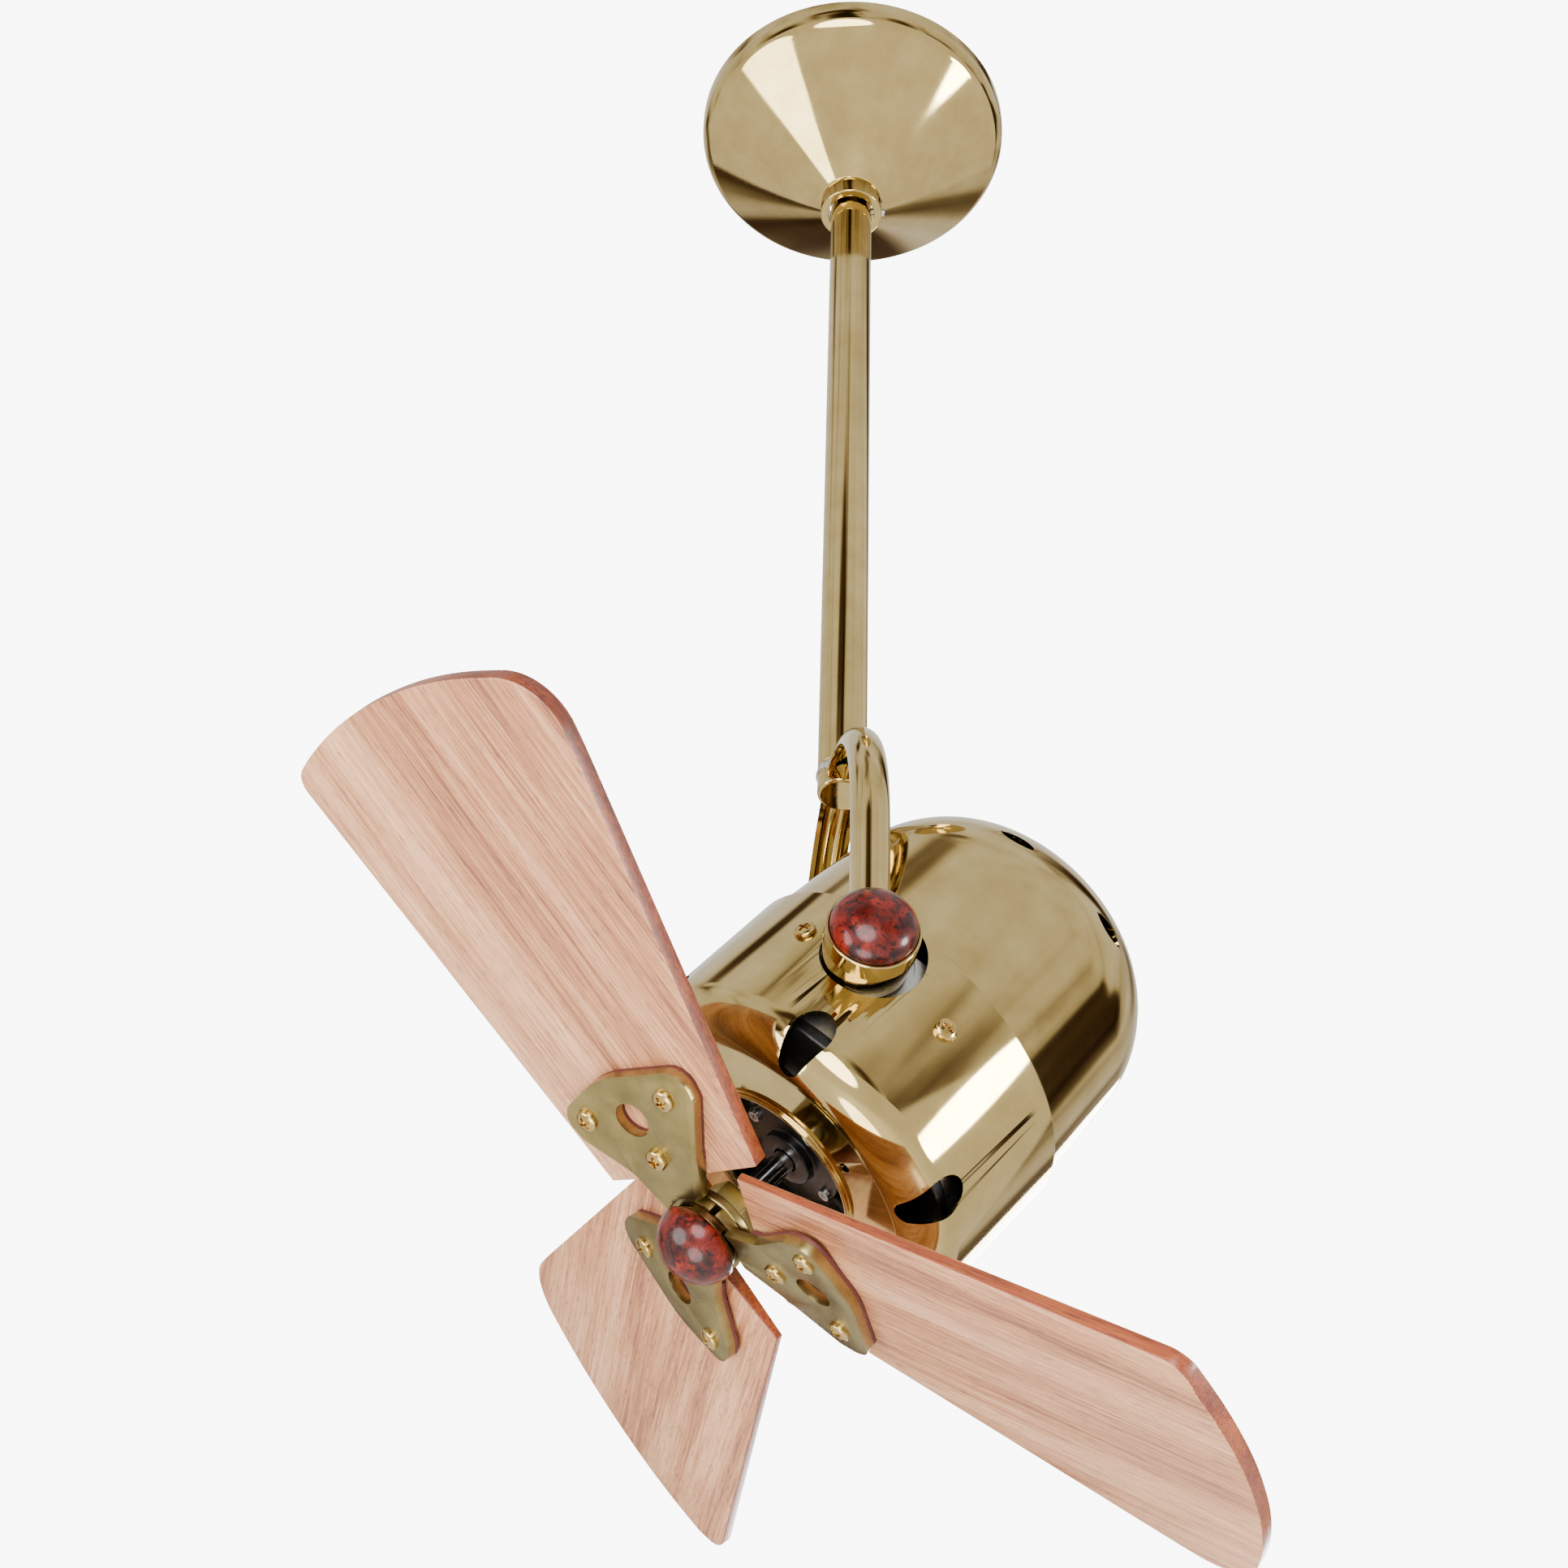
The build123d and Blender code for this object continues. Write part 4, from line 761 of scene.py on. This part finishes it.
# ---------------------------------------------------------------- blades and brackets
screw = crossed_screw("blade_screw", 4.6, 2.6, 2.2, 11.0)
blade_screws = rows(screw, "blade_pan_screws",
                    [blade_frame(k, 0.05) @ Matrix.Translation((x * MM, y * MM, 0))
                     @ Matrix.Rotation(radians(25 + 37 * k + x), 4, "Z")
                     for k in range(3) for x, y in screw_spots])
finish_piece(blade_screws, "rotor", "brass_screw", screw_brass, "blade_screws")

wood_start = -(bracket_thickness + backing)
foot_station = bracket_station - 1.6 - 4.0
paddle_outline = rounded(paddle, paddle_rounds, steps=12)
plan = rounded(blade_corners, blade_rounds, steps=16)
bevel_run = (Vector(bevel_tip) - Vector(bevel_root)).normalized()
for k in range(3):
    number = str(k + 1)
    place = blade_frame(k)

    plate = slab("bracket_plate_" + number, paddle_outline, bracket_thickness, place)
    sector = (arc(0, 0, 16.8, -55, 55, 24) + arc(0, 0, 5.6, 55, -55, 12))
    foot = slab("foot", sector, 4.0, Matrix.Identity(4))
    settle(foot, head_frame @ Matrix.Translation((0, 0, (foot_station + 4.0) * MM))
           @ Matrix.Rotation(radians(blade_phase - 120 * k), 4, "Z"))
    above = drill(17.6, head_frame @ Matrix.Translation((0, 0, (foot_station + 4.0) * MM)), 20, 0, 96)
    below = drill(17.3, head_frame @ Matrix.Translation((0, 0, foot_station * MM)), 0, -20, 96)
    apply_modifier(plate, "BOOLEAN", operation="UNION", solver="EXACT", object=foot)
    bpy.data.objects.remove(foot)
    spot = place @ Matrix.Translation((lightening_hole[0] * MM, lightening_hole[1] * MM, 0))
    cut(plate, above, below, drill(hole_radius, spot, 5, -9))
    soften(plate, 0.55, 3, 34)
    finish_piece(plate, "rotor", "satin_brass", brushed_brass, "blade_bracket_" + number)

    pad = slab("backing_pad_" + number, paddle_outline, backing - 0.1, Matrix.Identity(4))
    activate(pad)
    bpy.ops.object.mode_set(mode="EDIT")
    bpy.ops.mesh.select_all(action="SELECT")
    bpy.ops.mesh.bisect(plane_co=(0.027, 0, 0), plane_no=(1, 0, 0), use_fill=True,
                        clear_inner=True)
    bpy.ops.object.mode_set(mode="OBJECT")
    settle(pad, blade_frame(k, -bracket_thickness - 0.05))
    cut(pad, drill(hole_radius + 0.2, spot, 5, -9))
    soften(pad, 0.15, 2, 34)
    finish_piece(pad, "rotor", "fibre", red_fibre, "blade_backing_" + number)

    blade = slab("blade_board_" + number, plan, blade_thickness, Matrix.Identity(4))
    activate(blade)
    bpy.ops.object.mode_set(mode="EDIT")
    bpy.ops.mesh.select_all(action="SELECT")
    across = Vector((-bevel_run.y, bevel_run.x, 0))
    slope = across * sin(radians(bevel_angle)) + Vector((0, 0, cos(radians(bevel_angle))))
    bpy.ops.mesh.bisect(plane_co=(bevel_root[0] * MM, bevel_root[1] * MM, 0), plane_no=slope,
                        use_fill=True, clear_outer=True)
    bpy.ops.object.mode_set(mode="OBJECT")
    settle(blade, blade_frame(k, wood_start))
    soften(blade, 0.7, 4, 40)
    shades = [face_shades, face_shades[::1], face_shades][k]
    board = mahogany_material("mahogany_board_" + number, place, shades, 3.7 * k)
    rim = mahogany_material("mahogany_edge_" + number, place, edge_shades, 3.7 * k)
    finish_piece(blade, "rotor", "mahogany", board, "blade_" + number)
    blade.data.materials.append(rim)
    facing = place.to_3x3() @ Vector((0, 0, 1))
    for polygon in blade.data.polygons:
        if abs(polygon.normal.dot(facing)) < 0.55:
            polygon.material_index = 1

# ---------------------------------------------------------------- hub and finial
hub_front = foot_station - 0.05
hub_back = hub_front - 3.9
hub = lathe("hub_plate", rounded([(5.0, hub_back), (17.0, hub_back), (17.0, hub_front),
                                  (5.0, hub_front)], [0, 0.8, 0.8, 0]), head_frame, angle=50)
corner = 22.0 / 2 / cos(radians(30))
hexagon = [(corner * cos(radians(60 * i)), corner * sin(radians(60 * i))) for i in range(6)]
nut = slab("hub_hex", hexagon, 10.5, Matrix.Identity(4))
settle(nut, head_frame @ Matrix.Translation((0, 0, (hub_back + 0.5) * MM)))
cut(nut, drill(5.0, head_frame, hub_back + 5, hub_back - 15))
soften(nut, 0.7, 3, 34)
apply_modifier(hub, "BOOLEAN", operation="UNION", solver="EXACT", object=nut)
bpy.data.objects.remove(nut)
smooth(hub, 40)
finish_piece(hub, "rotor", "satin_brass", brushed_brass, "blade_hub")

stud_start = foot_station + 4.05
ring = lathe("finial_base_ring", rounded([(4.05, stud_start), (15.3, stud_start),
                                          (15.3, stud_start + 3.4), (4.05, stud_start + 3.4)],
                                         [0.2, 0.5, 0.7, 0.2]), head_frame, angle=50)
finish_piece(ring, "rotor", "dark_bronze", dark_bronze, "finial_ring")
knob_base = stud_start + 3.45
knob_radius, knob_height = 17.3, 16.5
dome = [(knob_radius * cos(radians(a)), knob_base + 1.4 + (knob_height - 1.4) * sin(radians(a)))
        for a in range(0, 86, 5)]
knob = lathe("finial_burl_knob", [(0, knob_base), (knob_radius - 1.2, knob_base)] + dome
             + [(0, knob_base + knob_height)], head_frame, closed=False, angle=60)
finish_piece(knob, "rotor", "burl_wood", burl_wood, "finial")

# ---------------------------------------------------------------- motor end bell
bell = 36.05
bell_outline = rounded([(5.6, bell), (73.0, bell), (73.0, bell + 5.0), (24.0, bell + 5.0),
                        (24.0, bell + 9.0), (12.0, bell + 9.0), (12.0, bell + 13.0),
                        (5.6, bell + 13.0)], [0, 0.5, 1.0, 0.9, 0.8, 0.9, 0.8, 0.3], steps=6)
end_bell = lathe("motor_end_bell", bell_outline, head_frame, angle=50)
for k in range(8):
    rib = slab("rib", [(23.0, -1.5), (56.5, -1.5), (56.5, 1.5), (23.0, 1.5)], 3.0,
               Matrix.Identity(4))
    soften(rib, 0.6, 2, 34)
    settle(rib, head_frame @ Matrix.Translation((0, 0, (bell + 7.5) * MM))
           @ Matrix.Rotation(radians(22.5 + 45 * k), 4, "Z"))
    join(end_bell, rib)
finish_piece(end_bell, "head", "black_paint", black_enamel, "front_end_bell")

# ---------------------------------------------------------------- finishes of the plain CAD nodes
slots = {entry["node"]: entry["material_slot"] for entry in frame["record"]["subparts"]}
for name, node in frame["nodes"].items():
    finish = cad_materials.get(node.get("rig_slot") or slots.get(name))
    if finish is not None and not node.hide_render:
        node.data.materials.clear()
        node.data.materials.append(finish)

# ---------------------------------------------------------------- floor, lights and camera
deselect()
bpy.ops.mesh.primitive_plane_add(size=90, location=(0, 0, -2.2))
floor = bpy.context.object
floor.name = "studio_floor"
floor_paint, floor_tree, floor_shader = new_material(
    "floor_paint", Roughness=0.75, Emission_Color=srgb("#FFFDF8"), Emission_Strength=0.45)
floor_spot = add_node(floor_tree, "TexCoord")
floor_cloud = add_node(floor_tree, "TexNoise", {"Scale": 1.2, "Detail": 3.0},
                       Vector=(floor_spot, "Object"))
floor_tone = ramp(floor_tree, floor_cloud, "Fac", [(0.3, "#E6E4E0"), (0.7, "#EDEBE8")])
finish_surface(floor_tree, floor_shader, (floor_tone, "Color"))
floor.data.materials.append(floor_paint)


def softbox(name, place, aim, size, watts, tint="#FFFFFF"):
    """A round (disk) area light at a place, turned to an aim."""
    light = bpy.data.lights.new(name, "AREA")
    light.shape = "DISK"
    light.size = size
    light.energy = watts
    light.color = srgb(tint)[:3]
    lamp = bpy.data.objects.new(name, light)
    bpy.context.scene.collection.objects.link(lamp)
    lamp.location = place
    lamp.rotation_euler = (Vector(aim) - Vector(place)).to_track_quat("-Z", "Y").to_euler()
    return lamp


middle = (0, 0, -0.6)
softbox("key", (1.55, -0.62, -0.84), middle, 0.5, 24)
softbox("front", (-0.5, -1.9, -1.0), middle, 1.3, 46)
softbox("fill", (-1.6, -0.6, -1.1), middle, 1.2, 30)
softbox("under", (-0.5, -0.3, -2.0), middle, 0.9, 16)
softbox("rim", (0.6, 1.4, -0.3), middle, 0.8, 26)

world = bpy.data.worlds.new("studio")
bpy.context.scene.world = world
world.use_nodes = True
sky = world.node_tree
sky_out = sky.nodes["Background"]
sky_spot = add_node(sky, "TexCoord")
sky_split = add_node(sky, "SeparateXYZ", Vector=(sky_spot, "Generated"))
sky_stretch = add_node(sky, "Mapping", {"Scale": (1.9, 1.9, 0.9)},
                       Vector=(sky_spot, "Generated"))
sky_room = add_node(sky, "TexNoise", {"Scale": 1.25, "Detail": 1.5, "Distortion": 0.5},
                    Vector=(sky_stretch, "Vector"))
sky_low = add_node(sky, "Math", {"operation": "MULTIPLY", 1: 0.16}, Value=(sky_split, "Z"))
sky_rise = add_node(sky, "Math", {"operation": "MULTIPLY_ADD", 1: 0.9})
sky.links.new(sky_room.outputs["Fac"], sky_rise.inputs[0])
sky.links.new(sky_low.outputs["Value"], sky_rise.inputs[2])
sky_tone = ramp(sky, sky_rise, "Value", [(0.33, "#2C221B"), (0.41, "#554436"), (0.45, "#8E8270"),
                                         (0.50, "#D8D0C0"), (0.56, "#F4F0E8"), (0.70, "#FFFFFF")])
sky_path = add_node(sky, "LightPath")
sky_mix = add_node(sky, "Mix", {"data_type": "RGBA"})
sky.links.new(sky_path.outputs["Is Camera Ray"], sky_mix.inputs["Factor"])
sky.links.new(sky_tone.outputs["Color"], sky_mix.inputs[6])
sky_mix.inputs[7].default_value = srgb("#FCFCFC")
sky.links.new(sky_mix.outputs[2], sky_out.inputs["Color"])
sky_power = add_node(sky, "MapRange", {"To Min": 1.2, "To Max": 9.0},
                     Value=(sky_path, "Is Camera Ray"))
sky.links.new(sky_power.outputs["Result"], sky_out.inputs["Strength"])

lens = bpy.data.cameras.new("view")
lens.lens = 57.31
lens.sensor_width = 36.0
camera = bpy.data.objects.new("view", lens)
bpy.context.scene.collection.objects.link(camera)
view_forward = Vector((0.0817, 0.7724, 0.6299)).normalized()
view_right = Vector((0.9915, -0.1270, 0.0271))
view_right = (view_right - view_forward * view_right.dot(view_forward)).normalized()
view_up = view_right.cross(view_forward)
camera.matrix_world = frame_matrix(view_right, view_up, -view_forward,
                                   Vector((-0.1158, -0.8506, -1.1703)))
bpy.context.scene.camera = camera
